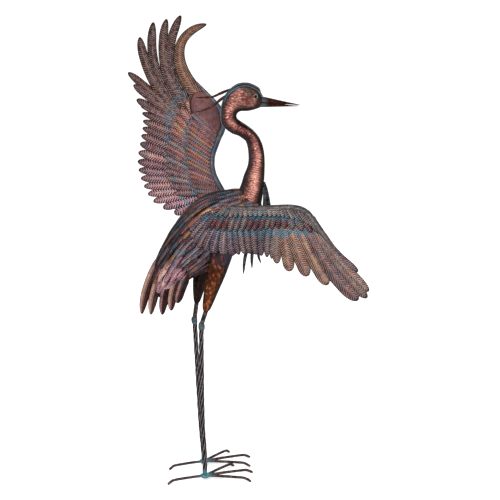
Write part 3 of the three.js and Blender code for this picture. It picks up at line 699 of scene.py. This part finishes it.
def hammered_paint(name, tones, dimple, stretch, *, rims, seam, stamp=None):
    """Hammered sheet with soft dimples, with a painted highlight at their centres and painted shade at their
    seams. zone paints the first rim colour over it, which is painted shade, and shade the second, a dark
    slate that is partly patina and partly painted shade, and along is the share that is stained olive.
    tone carries the painted highlight and shade that the piece's points give. stamp is (pitch in
    millimetres, slant, amount) of the short strokes punched into it in slanting rows, which give way to
    lengthwise streaks where it is stained."""
    p = Paint(name)
    dimples = p.dimples(dimple, stretch)
    # Painted highlight at the dimples' centres and painted shade at their seams, as strong as seam says.
    glint = 1 - p.step(dimples, 0.1, 0.5)
    tone = p.noise(22, 4) * 0.6 + p.noise(220, 3) * 0.4 + (glint - 0.5) * (seam * 0.35)
    height = dimples
    if stamp:
        pitch, slant, amount = stamp
        row = p.value("run") * (2 * math.pi / pitch) + p.value("across") * slant + p.noise(60, 3) * 9.0
        is_head = p.step(p.value("along"), 0.05, 0.2)
        strokes = p.maths("SINE", row) * p.step(p.noise(160, 2), 0.35, 0.6) * (1 - is_head)
        streaks = p.noise(240, 3, p.stretched((0.25, 1, 1), (0, 0.35, 0))) - 0.5
        tone = strokes * amount + (streaks * is_head * 0.5 + tone)
        height = strokes * -0.2 + dimples
    base = p.ramp(tone, list(zip(HAMMERED_LEVELS, tones)))
    stain = p.value("along") * p.step(p.noise(55, 3), 0.44, 0.6)
    base = p.mix(stain * 0.7, base, linear(OLIVE))
    base = p.lit(base, p.value("tone"))
    # Painted shade on the first rim; the second rim is dark slate, partly patina and partly painted shade.
    base = p.mix(p.value("zone"), base, p.mix(0.9, base, linear(rims[0])))
    base = p.mix(p.value("shade"), base, p.mix(0.85, base, linear(rims[1])))
    p.bump((height, 0.5, 0.003), (p.noise(600, 2), 0.25, 0.0005))
    return p.finish(base, p.noise(22, 4) * 0.2 + 0.28)


def plain_metal(name, tones, *, rough=0.42, grain=160, bump=0.3, groove=0.6, crest=0.0):
    """Brushed metal in three tones, with two more where zone paints its patina. crest paints a highlight
    along the middle of a strip and shade along its edges, and groove paints shade into the piece's grooves
    and flutes."""
    p = Paint(name)
    dark, middle, light, *patina = tones
    base = p.ramp(p.noise(grain, 4), [(0.3, dark), (0.5, middle), (0.72, light)])
    # crest: a painted highlight along the middle of a strip and painted shade along its edges.
    if crest:
        across = p.value("across")
        base = p.mix((1 - p.step(across, 0.05, 0.4)) * crest, base, linear(light))
        base = p.mix(p.step(across, 0.45, 0.85) * crest, base, linear(dark))
    # Painted shade in grooves and flutes.
    base = p.mix(p.value("groove") * groove, base, linear(dark))
    if patina:
        base = p.mix(p.value("zone"), base, p.mix(p.noise(grain * 1.4, 3), *map(linear, patina)))
    p.bump((p.noise(grain * 2.5, 3), bump, 0.0012))
    return p.finish(base, p.noise(grain, 2) * 0.2 + rough)


# Palettes of five tones, from dark to light.
VIOLET = [(30, 28, 38), (54, 58, 78), (78, 76, 88), (104, 92, 96), (164, 148, 150)]
GOLD = [(60, 48, 48), (104, 76, 66), (132, 102, 80), (152, 126, 90), (186, 166, 148)]
GREY = [(38, 40, 46), (70, 74, 78), (92, 96, 94), (108, 92, 86), (156, 152, 144)]
WINE = [(36, 30, 38), (76, 30, 34), (98, 52, 52), (90, 84, 88), (156, 142, 138)]
FAR_HAND = [(40, 26, 28), (74, 42, 38), (98, 60, 50), (116, 72, 48), (136, 104, 92)]
FAR_PINK = [(48, 34, 44), (98, 64, 78), (128, 102, 116), (158, 116, 114), (208, 178, 176)]
BRONZE = [(52, 34, 26), (100, 66, 44), (132, 92, 58), (158, 112, 66), (184, 152, 122)]
TAN = [(50, 40, 48), (96, 64, 62), (124, 78, 62), (108, 88, 92), (152, 128, 120)]
MAUVE = [(46, 36, 46), (92, 62, 70), (122, 88, 92), (140, 100, 88), (172, 146, 140)]
BODY_DARK = [(20, 15, 17), (42, 33, 35), (68, 51, 48), (100, 70, 54), (132, 114, 104)]
BODY_TEAL = [(20, 28, 34), (30, 62, 74), (56, 86, 94), (92, 84, 76), (122, 126, 128)]
RUMP = [(40, 26, 32), (82, 58, 64), (116, 86, 90), (146, 104, 88), (190, 156, 152)]
TAIL_PALE = [(84, 56, 58), (132, 96, 96), (166, 130, 122), (184, 142, 118), (224, 192, 180)]
TAIL_WINE = [(20, 8, 8), (56, 18, 14), (84, 30, 22), (108, 56, 36), (134, 106, 88)]

NEAR_FLIGHT = feather_paint(
    "near flight copper", VIOLET, GOLD, teal_run=(22, 36), teal_amount=0.8, patches=0.2, shaft=0.0,
    groove=0.85, bright=(0.74, 1.12))
NEAR_GREATER = feather_paint(
    "near covert copper", WINE, WINE, teal_run=(4, 21), teal_amount=1.0, patches=0.15, shaft=0.05,
    accents=(OXBLOOD, STEEL), accent_share=0.5, accent=0.7, groove=0.85, glint=0.2, bright=0.68)
NEAR_LESSER = feather_paint(
    "near shoulder copper", GREY, GREY, patches=0.45, groove=0.7, shaft=0.05, iris=0.12, bright=1.1)
FAR_FLIGHT = feather_paint(
    "far flight copper", FAR_HAND, FAR_PINK, teal_run=(66, 82), teal_amount=0.7, patches=0.2, shaft=0.1,
    groove=1.0, glint=0.4, iris=0.25, bright=(0.42, 1.25))
FAR_FIRST = feather_paint(
    "far leading feather copper", BRONZE, FAR_HAND, patches=0.1, shaft=0.1, groove=0.85, bright=0.6)
FAR_GREATER = feather_paint(
    "far covert copper", MAUVE, TAN, teal_run=(20, 30), patches=0.2, own=0.3, accents=(BURNT, SEA, AMBER),
    accent_share=0.45, accent=0.75, groove=0.85, glint=0.35, shaft=0.15, bright=0.78)
FAR_LESSER = feather_paint(
    "far shoulder copper", MAUVE, TAN, patches=0.2, own=0.3, accents=(BURNT, SEA, AMBER, ROSE),
    accent_share=0.6, accent=0.65, groove=0.7, glint=0.2, shaft=0.15, bright=0.74)
BODY_COPPER = feather_paint(
    "body copper", BODY_DARK, BODY_TEAL, patches=0.25, patch_size=60, own=0.4, shaft=0.4, glint=0.12,
    accents=(SEA, BURNT, VIOLET_GREY, AMBER, SEA, ROSE, SLATE), accent_share=0.7, groove=0.55,
    bright=(0.9, 1.5))
RUMP_COPPER = feather_paint(
    "rump copper", RUMP, RUMP, patches=0.15, patch_size=60, groove=0.4, own=0.35, glint=0.2,
    accents=(ROSE, VIOLET_GREY, OLIVE), accent_share=0.4, accent=0.6, bright=2.0)
# Tail: TAIL_PALE is the painted lit half and the pale root, TAIL_WINE the wine colour with painted shade on
# the other half.
TAIL_COPPER = feather_paint(
    "tail copper", TAIL_WINE, TAIL_PALE, teal_run=(20, 34), teal_amount=0.4, patches=0.05, groove=0.35,
    glint=0.05, iris=0.12, bright=(0.24, 1.0))
# The neck's first rim is painted shade, the second dark slate that is partly patina and partly painted shade.
NECK_COPPER = hammered_paint(
    "neck copper", [(56, 26, 28), (104, 58, 54), (144, 96, 90), (180, 132, 112), (228, 190, 160)],
    150, (1, 1, 2.0), rims=((22, 12, 12), (44, 44, 56)), seam=0.3, stamp=(5.6, 4.0, 0.09))
# The thigh's first rim is painted shade, the second dark slate that is partly patina and partly painted
# shade.
THIGH_COPPER = hammered_paint(
    "thigh copper", [(38, 18, 12), (78, 38, 22), (112, 62, 34), (146, 92, 50), (190, 136, 88)],
    130, (1, 1, 0.7), rims=((14, 9, 9), (48, 56, 74)), seam=0.6)
EDGE_METAL = plain_metal(
    "wing edge metal", [(42, 40, 42), (80, 76, 76), (118, 110, 106), (34, 46, 60), (58, 74, 88)],
    rough=0.36, bump=0.6)
# The cap's strips get a painted highlight along their middles and painted shade at their edges.
CAP_METAL = plain_metal(
    "cap metal", [(22, 23, 28), (64, 64, 70), (150, 150, 152), (20, 70, 84), (40, 116, 132)],
    rough=0.34, grain=260, crest=0.8)
EYE_METAL = plain_metal(
    "eye metal", [(54, 66, 68), (96, 114, 114), (176, 192, 188), (8, 8, 8), (18, 16, 16)], rough=0.3)
BILL_METAL = plain_metal(
    "bill metal", [(22, 10, 8), (48, 22, 16), (80, 46, 36), (58, 66, 78), (84, 84, 88)], rough=0.34,
    grain=120)
PLUME_METAL = plain_metal("plume metal", [(24, 24, 28), (56, 57, 61), (106, 107, 112)], rough=0.4)
CREST_METAL = plain_metal("crest metal", [(24, 14, 14), (58, 32, 28), (100, 76, 72)], rough=0.38)
WELD_PATINA = [(48, 104, 116), (98, 142, 148)]
LEG_METAL = plain_metal(
    "leg metal", [(20, 16, 17), (60, 53, 54), (120, 112, 112), *WELD_PATINA], groove=0.85)
# The bar's strands get painted highlights and its flutes painted shade.
BAR_METAL = plain_metal(
    "leg bar metal", [(12, 10, 11), (46, 41, 43), (128, 120, 122), *WELD_PATINA], groove=0.8, crest=0.7)
TOE_METAL = plain_metal("toe metal", [(30, 22, 24), (66, 52, 54), (116, 98, 98), *WELD_PATINA])


BODY_LINE = spline(BODY_STATIONS, np.linspace(0, 1, 60))
BODY_ROWS = {"first": 0.06, "last": 0.85, "count": 16, "length": 0.145, "width": 12.5, "overlap": 1.3}
RUMP_START = 0.62


def body_skin(at, turn, grow):
    return form_points(BODY_STATIONS, at, turn, grow, back_width)[:, 0]


def build_body():
    """A smooth shell under lapped feathers. Those of the rump are a piece of their own."""
    body, rump = Piece(), Piece()
    grid = form_points(BODY_STATIONS, np.linspace(0, 1, 110), ring_angles(72), -1.0, back_width)
    # The shell is darkened as painted shade where it shows between the feathers.
    body.add(grid, along=0.8, across=0.5, shade=0.2, tone=0.4)
    first, last, rows, length, width, overlap = BODY_ROWS.values()
    for row in range(rows):
        start = first + (last - first) * row / (rows - 1)
        here = spline(BODY_STATIONS, np.array([min(1, start + length / 2)]))[0]
        girth = 2 * math.pi * math.sqrt((here[2] ** 2 + here[3] ** 2) / 2)
        count = max(8, int(girth / width))
        for i in range(count):
            turn = (i + 0.5 * (row % 2)) / count * 2 * math.pi + RANDOM.uniform(-0.06, 0.06)
            reach = min(0.98, start + length * RANDOM.uniform(0.88, 1.12))

            def quill(s):
                at = start + (reach - start) * s
                out = unit(body_skin(at, turn, 2.0) - body_skin(at, turn, -2.0))
                return body_skin(at, turn, 0.2) + out * (0.6 + 2.8 * s[:, None])

            half = girth / count / 2 * overlap
            # dark is painted shade on the back's ridge and on the belly, carried by tone.
            up = -math.cos(turn)
            dark = 0.85 * max(0, up) ** 4 + 0.75 * max(0, -up) ** 1.5
            on_rump = start > RUMP_START and up > -0.45
            feather(rump if on_rump else body, quill, lambda p: outward_from(BODY_LINE, p, 1.3), half,
                    half * 0.8, crest=1.0, tip_round=0.5, barb=0.6, rachis=0.6, lean=0.9, columns=FEW_COLUMNS,
                    rows_per_barb=2, pitch=6.4, zone=min(1.0, max(0.0, 1.3 - 2.2 * start)), tone=1.1 - dark)
    return body, rump


NECK_RINGS = 21


def neck_skin(t, angle, grow=0.0):
    """The neck and head: smooth lines through its rings."""
    rings = form_points(NECK_STATIONS, np.linspace(0, 1, NECK_RINGS), angle, grow)
    inner = np.clip(np.cos(angle), 0, 1)[None, :, None]
    for _ in range(3):
        rings[1:-1] += inner * (rings[:-2] + rings[2:] - 2 * rings[1:-1]) / 4
    return spline(rings.reshape(NECK_RINGS, -1), t).reshape(len(t), -1, 3)


def build_neck():
    """Painted shade in front and a dark slate on the nape that is partly patina and partly painted shade,
    a painted highlight along the sides between them, darker at the front of the face by the bill, and
    stained olive over the head.
    """
    piece = Piece()
    t, angle = np.linspace(0, 1, 230), ring_angles(56)
    grid = neck_skin(t, angle)
    t = t[:, None]
    facing = np.cos(angle)[None, :] + 0.04 * np.sin(t * 40)
    face, head = fade(t, 0.92, 0.95), fade(t, 0.72, 0.78)
    # crest is where the painted highlight runs along each side; neck_tone carries it and the painted shade
    # beyond it.
    crest = np.exp(-((facing - 0.1) / 0.32) ** 2)
    bend = np.exp(-((t - 0.47) / 0.1) ** 2)
    neck_tone = (0.25 + 1.55 * crest) * (1 - 0.45 * bend)
    piece.add(grid, zone=np.maximum(fade(facing, 0.4, 0.8), face), shade=fade(facing, -0.5, -0.85),
              tone=neck_tone * (1 - head) + (0.6 + 0.35 * crest) * head,
              along=head * (0.25 + 0.75 * fade(facing, -0.1, -0.4)),
              run=run_along(grid.mean(axis=1))[:, None], across=np.abs(facing))
    return piece


HEAD_LINE = spline(NECK_STATIONS, np.linspace(0.6, 1, 40))
CAP_START = 0.99
CAP_ENDS = (0.56, 0.62, 0.72)
CAP_PATINA = 0.62


def build_cap():
    """Ridged dark strips over the crown, from the bill down the nape."""
    piece = Piece()
    for side in (-1, 1):
        for strand, end in enumerate(CAP_ENDS):
            turn = np.array([math.pi + side * (0.13 + 0.27 * strand)])
            feather(piece, lambda s: neck_skin(CAP_START - (CAP_START - end) * s, turn, -0.2)[:, 0],
                    lambda p: outward_from(HEAD_LINE, p), 4.2, 2.6, crest=1.5, tip_round=0.6, root_share=0.5,
                    barb=0.25, rachis=0.5, thick=0.6,
                    zone=lambda t, _: np.clip(1 - np.abs(t - CAP_PATINA) / 0.16, 0, 0.9))
    return piece


def round_ball(rows, sides, end):
    """Points on a ball of radius 1, ring by ring, closed off near its poles."""
    rise, turn = np.linspace(end, math.pi - end, rows)[:, None], ring_angles(sides)[None, :]
    return np.stack([np.sin(rise) * np.cos(turn), np.sin(rise) * np.sin(turn),
                     np.broadcast_to(np.cos(rise), (rows, sides))], axis=-1)


def build_eyes():
    piece = Piece()
    sides, tube_angle = 28, ring_angles(10)
    for side in (-1, 1):
        centre = np.array([EYE["x"], side * EYE["y"], EYE["z"]])
        turn = np.append(ring_angles(sides), 0)
        closed = np.stack([np.cos(turn), np.zeros(sides + 1), np.sin(turn)], axis=-1)
        grid = (centre + closed[:, None] * (EYE["radius"] + EYE["tube"] * np.cos(tube_angle))[None, :, None]
                + np.array([0, side, 0]) * (EYE["tube"] * np.sin(tube_angle))[None, :, None])
        piece.add(grid, caps=False)
        ball = round_ball(14, sides, 0.02)[..., [0, 2, 1]] * [1, 0.6, 1]
        piece.add(centre + EYE["radius"] * 0.85 * ball, zone=1.0)
    return piece


def build_bill(bill, closing):
    """Half of the bill, flat on the side that closes on the other: 1 for below, -1 for above."""
    piece = Piece()

    def flat_inside(up):
        return np.where(up * closing > 0, np.maximum(1e-3, 1 - up**2) ** -0.25, 1)

    (tip_x, tip_z), z, depth, width = bill["tip"], bill["z"], bill["depth"], bill["width"]
    stations = [[BILL_BASE_X - BILL_HIDDEN, z, depth, width], [BILL_BASE_X + 2, z, depth, width],
                [tip_x * 0.6, (z + tip_z) / 2, depth * 0.59, width * 0.54], [tip_x, tip_z, 0.7, 0.7]]
    angle = ring_angles(24)
    grid = form_points(stations, np.linspace(0, 1, 90), angle, width_at=flat_inside)
    inside = np.clip(np.cos(angle) * closing, 0, 1)[None, :]
    grid[..., 2] -= closing * BILL_GAP / 2 * inside * fade(grid[..., 0], BILL_OPENS, BILL_OPENS - 14)
    ridge = np.abs(np.abs(np.sin(angle)) - 0.85) < 0.12
    piece.add(grid, zone=0.9 * fade(grid[..., 0], 46, 36), groove=ridge * 0.6)
    return piece


def build_plume(points, wide, slim, root_share):
    piece = Piece()
    feather(piece, lambda t: spline(points, t), np.array([0.0, -1.0, 0.0]), wide, slim, crest=1.0,
            tip_round=0.25, root_share=root_share, barb=0.35, shade=0.3)
    return piece


def hand(piece, depth, rows, lean, zones, **how):
    """The single long feathers of a hand, from the leading one on."""
    for i, (*curve, half) in enumerate(rows):
        sheet_feather(piece, curve, depth, 0.25 * (i % 2), half, half * 0.8, crest=1.7, lean=lean,
                      tip_round=0.16, zone=zones[i], **how)


def build_tail():
    """Feathers in pairs on both sides of a plain core, each pale on one half as a painted highlight and
    dark on the other as painted shade, and pale near the root.
    """
    piece = Piece()

    def tail_line(i, t, y):
        flat = bowed(TAIL_ROOTS[i], TAIL_TIPS[i], TAIL_BOW[i], t)
        return np.stack([flat[:, 0], np.full(len(t), y), flat[:, 1]], axis=-1)

    for side in (-1, 1):
        outward = unit(np.array([-0.25, side, 0.1]))
        for i, spread in enumerate(TAIL_SPREAD):
            # zone paints the lit half pale and the shaded half dark wine: painted highlight and shade, and
            # paler near the root.
            feather(piece, lambda t: tail_line(i, t, side * (spread + 0.6)), outward, *TAIL_WIDTHS, crest=3.8,
                    tip_round=0.3, barb=0.35, rachis=0.9, lean=-1.4 * side,
                    zone=lambda t, edge: np.clip((-side * edge - 0.1) * 5 + 6 * np.maximum(0, 0.2 - t), 0, 1))
    t = np.linspace(0, 0.68, 8)
    core = [np.concatenate([tail_line(i, t, 0.8 - spread), tail_line(i, t, spread - 0.8)[::-1]])
            for i, spread in enumerate(TAIL_SPREAD)]
    # The core is darkened as painted shade between the feathers.
    piece.add(np.array(core), across=0.5, along=0.6, shade=0.1, tone=0.4)
    return piece


def build_thigh(leg):
    """A thigh with painted shade in front and behind, a painted shadow as deep as leg says on the side that
    looks at the other one, and dark slate on top that is partly patina and partly painted shade.
    """
    piece = Piece()
    stations = [[x, z, half, half * THIGH_FLATNESS, y] for x, z, half, y in leg["thigh"]]
    t, angle = np.linspace(0, 1, 90), ring_angles(40)
    facing = np.cos(angle)
    # inner is a painted shadow on the side that looks at the other leg.
    inner = leg["dark"] * np.clip(0.6 - 1.5 * np.sin(angle), 0, 1)
    shadow = fade(facing, -0.1, -0.7) + np.clip((facing - 0.75) / 0.3, 0, 1) + inner
    piece.add(form_points(stations, t, angle), zone=np.clip(shadow, 0, 1), tone=1.15 * (1 - 0.7 * inner),
              shade=0.8 * fade(t, 0.42, 0.22)[:, None])
    return piece


def lump(piece, centre, radii, seed, rough, square=1.0, **values):
    """A rounded blob of weld metal, more like a barrel where square is under 1."""
    ball = round_ball(26, 36, 0.03)
    ball = np.sign(ball) * np.abs(ball) ** square
    swell = 1 + rough * waves(ball, 0.9, seed)[..., None]
    piece.add(np.asarray(centre) + ball * swell * np.asarray(radii), **values)


def build_knee(leg, seed):
    """The shank and the weld over the knee."""
    piece = Piece()
    x, z = leg["knee"]
    stations = [[*place, SHANK_RADIUS, SHANK_RADIUS, leg["y"]] for place in (*leg["shank"], leg["knee"])]
    t = np.linspace(0, 1, 40)
    piece.add(form_points(stations, t, ring_angles(18)), groove=0.2,
              zone=np.clip(t[:, None] * 2 - 1.1, 0, 1) * 0.6)
    lump(piece, [x, leg["y"], z], [KNEE["radius"], KNEE["radius"], KNEE["half"]], seed, 0.09, square=0.75,
         zone=KNEE["patina"])
    return piece


def build_leg(leg, seed):
    """The twisted bar, verdigris at its foot, and the weld over the toes."""
    piece = Piece()
    line = spline(leg["bar"], np.linspace(0, 1, 2000))
    run = run_along(line)
    even = np.linspace(0, run[-1], 240)
    flat = read_at(even, run, line)
    angle = ring_angles(8 * BAR["flutes"])
    strand = np.abs(np.cos(BAR["flutes"] * angle / 2))
    radius = BAR["radius"] - BAR["depth"] * (1 - strand)
    turned = angle + (even / BAR["turn_length"] * 2 * math.pi)[:, None]
    x, z = flat[:, 0, None] + radius * np.cos(turned), np.broadcast_to(flat[:, 1, None], turned.shape)
    # groove and across carry painted shade into the flutes and a painted highlight onto the strands.
    piece.add(np.stack([x, leg["y"] - radius * np.sin(turned), z], axis=-1), groove=1 - strand,
              across=np.sqrt(1 - strand), zone=0.9 * fade(z, 32, 20))
    lump(piece, [*leg["foot"], WELD["z"]], [WELD["radius"], WELD["radius"], WELD["height"]], seed, 0.07,
         zone=0.9)
    return piece


def build_toe(foot, tip, seed):
    piece = Piece()
    share, height = np.array(TOE_LINE).T
    points = np.stack([foot[0] + (tip[0] - foot[0]) * share, foot[1] + (tip[1] - foot[1]) * share, height],
                      axis=-1)
    t = np.linspace(0, 1, 60)
    centre = spline(points, t)
    across, up = line_ways(centre, np.array([0.0, 0.0, 1.0]))
    size = TOE_RADIUS * (1 - 0.3 * fade(t, 0.85, 1))
    tube(piece, centre, across, up, size, size, 14, zone=0.7 * fade(t, 0.16, 0.06)[:, None])
    grid = piece.points[-1]
    grid += (waves(grid, 14, seed) * 0.25)[:, None] * unit(np.array([0.3, 0.5, 0.8]))
    grid[:, 2] = np.maximum(grid[:, 2], 0)
    return piece


body, rump = build_body()
body.make("heron_body", ["body"], "body_copper", BODY_COPPER)
rump.make("heron_rump", ["body"], "body_copper", RUMP_COPPER)
build_neck().make("heron_neck", ["neck_and_head"], "neck_copper", NECK_COPPER)
build_cap().make("heron_cap", ["neck_and_head"], "neck_copper", CAP_METAL)
build_eyes().make("heron_eyes", ["neck_and_head"], "neck_copper", EYE_METAL)
build_bill(UPPER_BILL, 1).make("heron_bill_upper", ["bill_upper"], "bill", BILL_METAL)
build_bill(LOWER_BILL, -1).make("heron_bill_lower", ["bill_lower"], "bill", BILL_METAL)
for name, points in CREST_PLUMES.items():
    build_plume(points, *CREST_WIDTHS).make("heron_" + name, [name], "plume", CREST_METAL)
for name, points in BREAST_PLUMES.items():
    build_plume(points, *BREAST_WIDTHS).make("heron_" + name, [name], "plume", PLUME_METAL)

flight = Piece()
hand(flight, right_depth, RIGHT_HAND, 0.5, (0.4, 0.5, 0.5, 0.7, 1, 1, 0.95, 0.6),
     tone=lambda t, _: 0.76 + 0.36 * t)
feather_row(flight, right_depth, 0.0, RIGHT_ARM, crest=1.5, lean=0.9, tip_round=0.3, zones=(0.2, 0))
backing(flight, right_depth, -0.9, *RIGHT_HAND_BACK, 0.7)
flight.make("right_flight", ["right_wing_flight_feathers"], "wing_copper", NEAR_FLIGHT)
greater = Piece()
feather_row(greater, right_depth, LAYER_STEP, RIGHT_GREATER, crest=1.3, lean=0.8, tip_round=0.6)
greater.make("right_greater", ["right_wing_greater_coverts"], "wing_copper", NEAR_GREATER)
lesser = Piece()
feather_row(lesser, right_depth, 2 * LAYER_STEP, RIGHT_LESSER, crest=0.9, lean=0.5, tip_round=0.6)
lesser.make("right_lesser", ["right_wing_lesser_coverts"], "wing_copper", NEAR_LESSER)
edge_roll(right_depth, RIGHT_EDGE).make(
    "right_edge", ["right_wing_lesser_coverts"], "wing_copper", EDGE_METAL)

first = Piece()
sheet_feather(first, lambda t: bezier(LEFT_FIRST, t), left_depth, 0.25, *LEFT_FIRST_WIDTHS, crest=1.8,
              tip_round=0.16, shade=0.4, zone=lambda t, _: np.clip(0.9 - 2.2 * t, 0, 1))
first.make("left_first", ["left_wing_flight_feathers"], "wing_copper", FAR_FIRST)
flight = Piece()
# tone paints shade on one half of each far hand feather.
hand(flight, left_depth, LEFT_HAND, -0.5, (0, 0, 0, 0, 0.1, 0.15, 0.2), pitch=5.9,
     tone=lambda t, side: 1.0 - 0.35 * side)
feather_row(flight, left_depth, 0.0, LEFT_ARM, crest=1.5, lean=-0.9, tip_round=0.3, zones=(0.2, 1.0),
            run_scales=(0.9, 1.6), pitch=6.8, tone=lambda t, _: 1.15 - 0.5 * fade(t, 0.78, 1))
backing(flight, left_depth, -0.7, *LEFT_HAND_BACK, 0.5, 55)
flight.make("left_flight", ["left_wing_flight_feathers"], "wing_copper", FAR_FLIGHT)
greater = Piece()
feather_row(greater, left_depth, LAYER_STEP, LEFT_GREATER, crest=1.3, lean=-0.8, tip_round=0.5)
greater.make("left_greater", ["left_wing_greater_coverts"], "wing_copper", FAR_GREATER)
lesser = Piece()
feather_row(lesser, left_depth, 2 * LAYER_STEP, LEFT_LESSER, crest=0.9, lean=-0.5, tip_round=0.5,
            zones=(0, 1), barb=0.8)
build_plate(lesser, left_depth, 2 * LAYER_STEP - 0.6, LEFT_PLATE)
lesser.make("left_lesser", ["left_wing_lesser_coverts"], "wing_copper", FAR_LESSER)
edge_roll(left_depth, LEFT_EDGE).make(
    "left_edge", ["left_wing_lesser_coverts"], "wing_copper", EDGE_METAL)
build_tail().make("heron_tail", ["tail_feathers"], "tail_copper", TAIL_COPPER)
for side, leg, seed in (("right", RIGHT_LEG, 1), ("left", LEFT_LEG, 2)):
    build_thigh(leg).make(side + "_thigh_shell", [side + "_thigh"], "thigh_copper", THIGH_COPPER)
    build_knee(leg, seed).make(side + "_knee_weld", [side + "_knee"], "leg_iron", LEG_METAL)
    build_leg(leg, seed + 10).make(side + "_leg_bar", [side + "_leg"], "leg_iron", BAR_METAL)
    for i, tip in enumerate(leg["toes"]):
        node = side + "_" + TOE_NAMES[i]
        build_toe(leg["foot"], tip, seed * 10 + i).make(node + "_rod", [node], "leg_iron", TOE_METAL)


# Studio: one pale sweep of floor and backdrop, soft lights, and the camera at the photograph's angle.
FLOOR_GLOW = 0.45
MIDDLE = (0.0, 0.0, 0.65)


def add_glowing(name, points, faces, look, tones, glow):
    """A part of the studio that gives off some white light itself."""
    mesh = bpy.data.meshes.new(name)
    mesh.from_pydata(points, [], faces)
    mesh.polygons.foreach_set("use_smooth", np.ones(len(faces), bool))
    paint = Paint(look)
    tone = paint.ramp(paint.noise(2), [(0.3, (tones[0],) * 3), (0.7, (tones[1],) * 3)])
    paint.shader.inputs["Emission Color"].default_value = (1, 1, 1, 1)
    paint.shader.inputs["Emission Strength"].default_value = glow
    mesh.materials.append(paint.finish(tone, 0.9, 0.0))
    paint.material.cycles.emission_sampling = "NONE"
    return add_object(name, mesh)


def build_floor():
    half, back, bend, top = 9.0, 6.0, 2.5, 9.0
    angle = np.linspace(0, math.pi / 2, 24)
    curve = [(-8.0, 0.0), *zip(back + bend * np.sin(angle), bend * (1 - np.cos(angle))), (back + bend, top)]
    points = [(x, y, z) for y, z in curve for x in (-half, half)]
    faces = [(2 * i, 2 * i + 1, 2 * i + 3, 2 * i + 2) for i in range(len(curve) - 1)]
    floor = add_glowing("studio_floor", points, faces, "studio white", (243, 248), FLOOR_GLOW)


def build_backdrop():
    """A white wall all round, so that no horizon shows from any side. Only the camera sees it."""
    radius, low, high, sides = 14.0, -6.0, 14.0, 64
    turns = ring_angles(sides)
    points = [(radius * math.cos(a), radius * math.sin(a), z) for z in (low, high) for a in turns]
    faces = [(i, (i + 1) % sides, sides + (i + 1) % sides, sides + i) for i in range(sides)]
    wall = add_glowing("studio_backdrop", points, faces, "backdrop white", (248, 252), 1.0)
    wall.visible_diffuse = wall.visible_glossy = wall.visible_transmission = wall.visible_shadow = False


def add_light(name, place, size, power):
    light = bpy.data.lights.new(name, "AREA")
    light.size, light.energy = size, power
    lamp = add_object(name, light)
    lamp.location = place
    way = Vector(MIDDLE) - Vector(place)
    lamp.rotation_euler = way.to_track_quat("-Z", "Y").to_euler()


build_floor()
build_backdrop()
world = bpy.data.worlds.new("studio")
world.use_nodes = True
world.node_tree.nodes["Background"].inputs["Color"].default_value = (1, 1, 1, 1)
world.node_tree.nodes["Background"].inputs["Strength"].default_value = 0.6
bpy.context.scene.world = world
add_light("key", (-1.4, -2.6, 2.8), 1.2, 85)
add_light("fill", (2.8, -2.2, 1.4), 2.0, 30)
add_light("rim", (1.2, 2.6, 2.6), 1.4, 40)

CAMERA = np.array([0.0, -2800.0, 1050.0])
CAMERA_AIM_Z = 592
camera_data = bpy.data.cameras.new("camera")
camera_data.lens, camera_data.sensor_width = 80, 36
camera = add_object("camera", camera_data)
camera.location = (CAMERA + SHIFT) * MM
camera.rotation_euler = (math.pi / 2 - math.atan2(CAMERA[2] - CAMERA_AIM_Z, -CAMERA[1]), 0, 0)
bpy.context.scene.camera = camera
bpy.context.scene.view_settings.view_transform = "Standard"
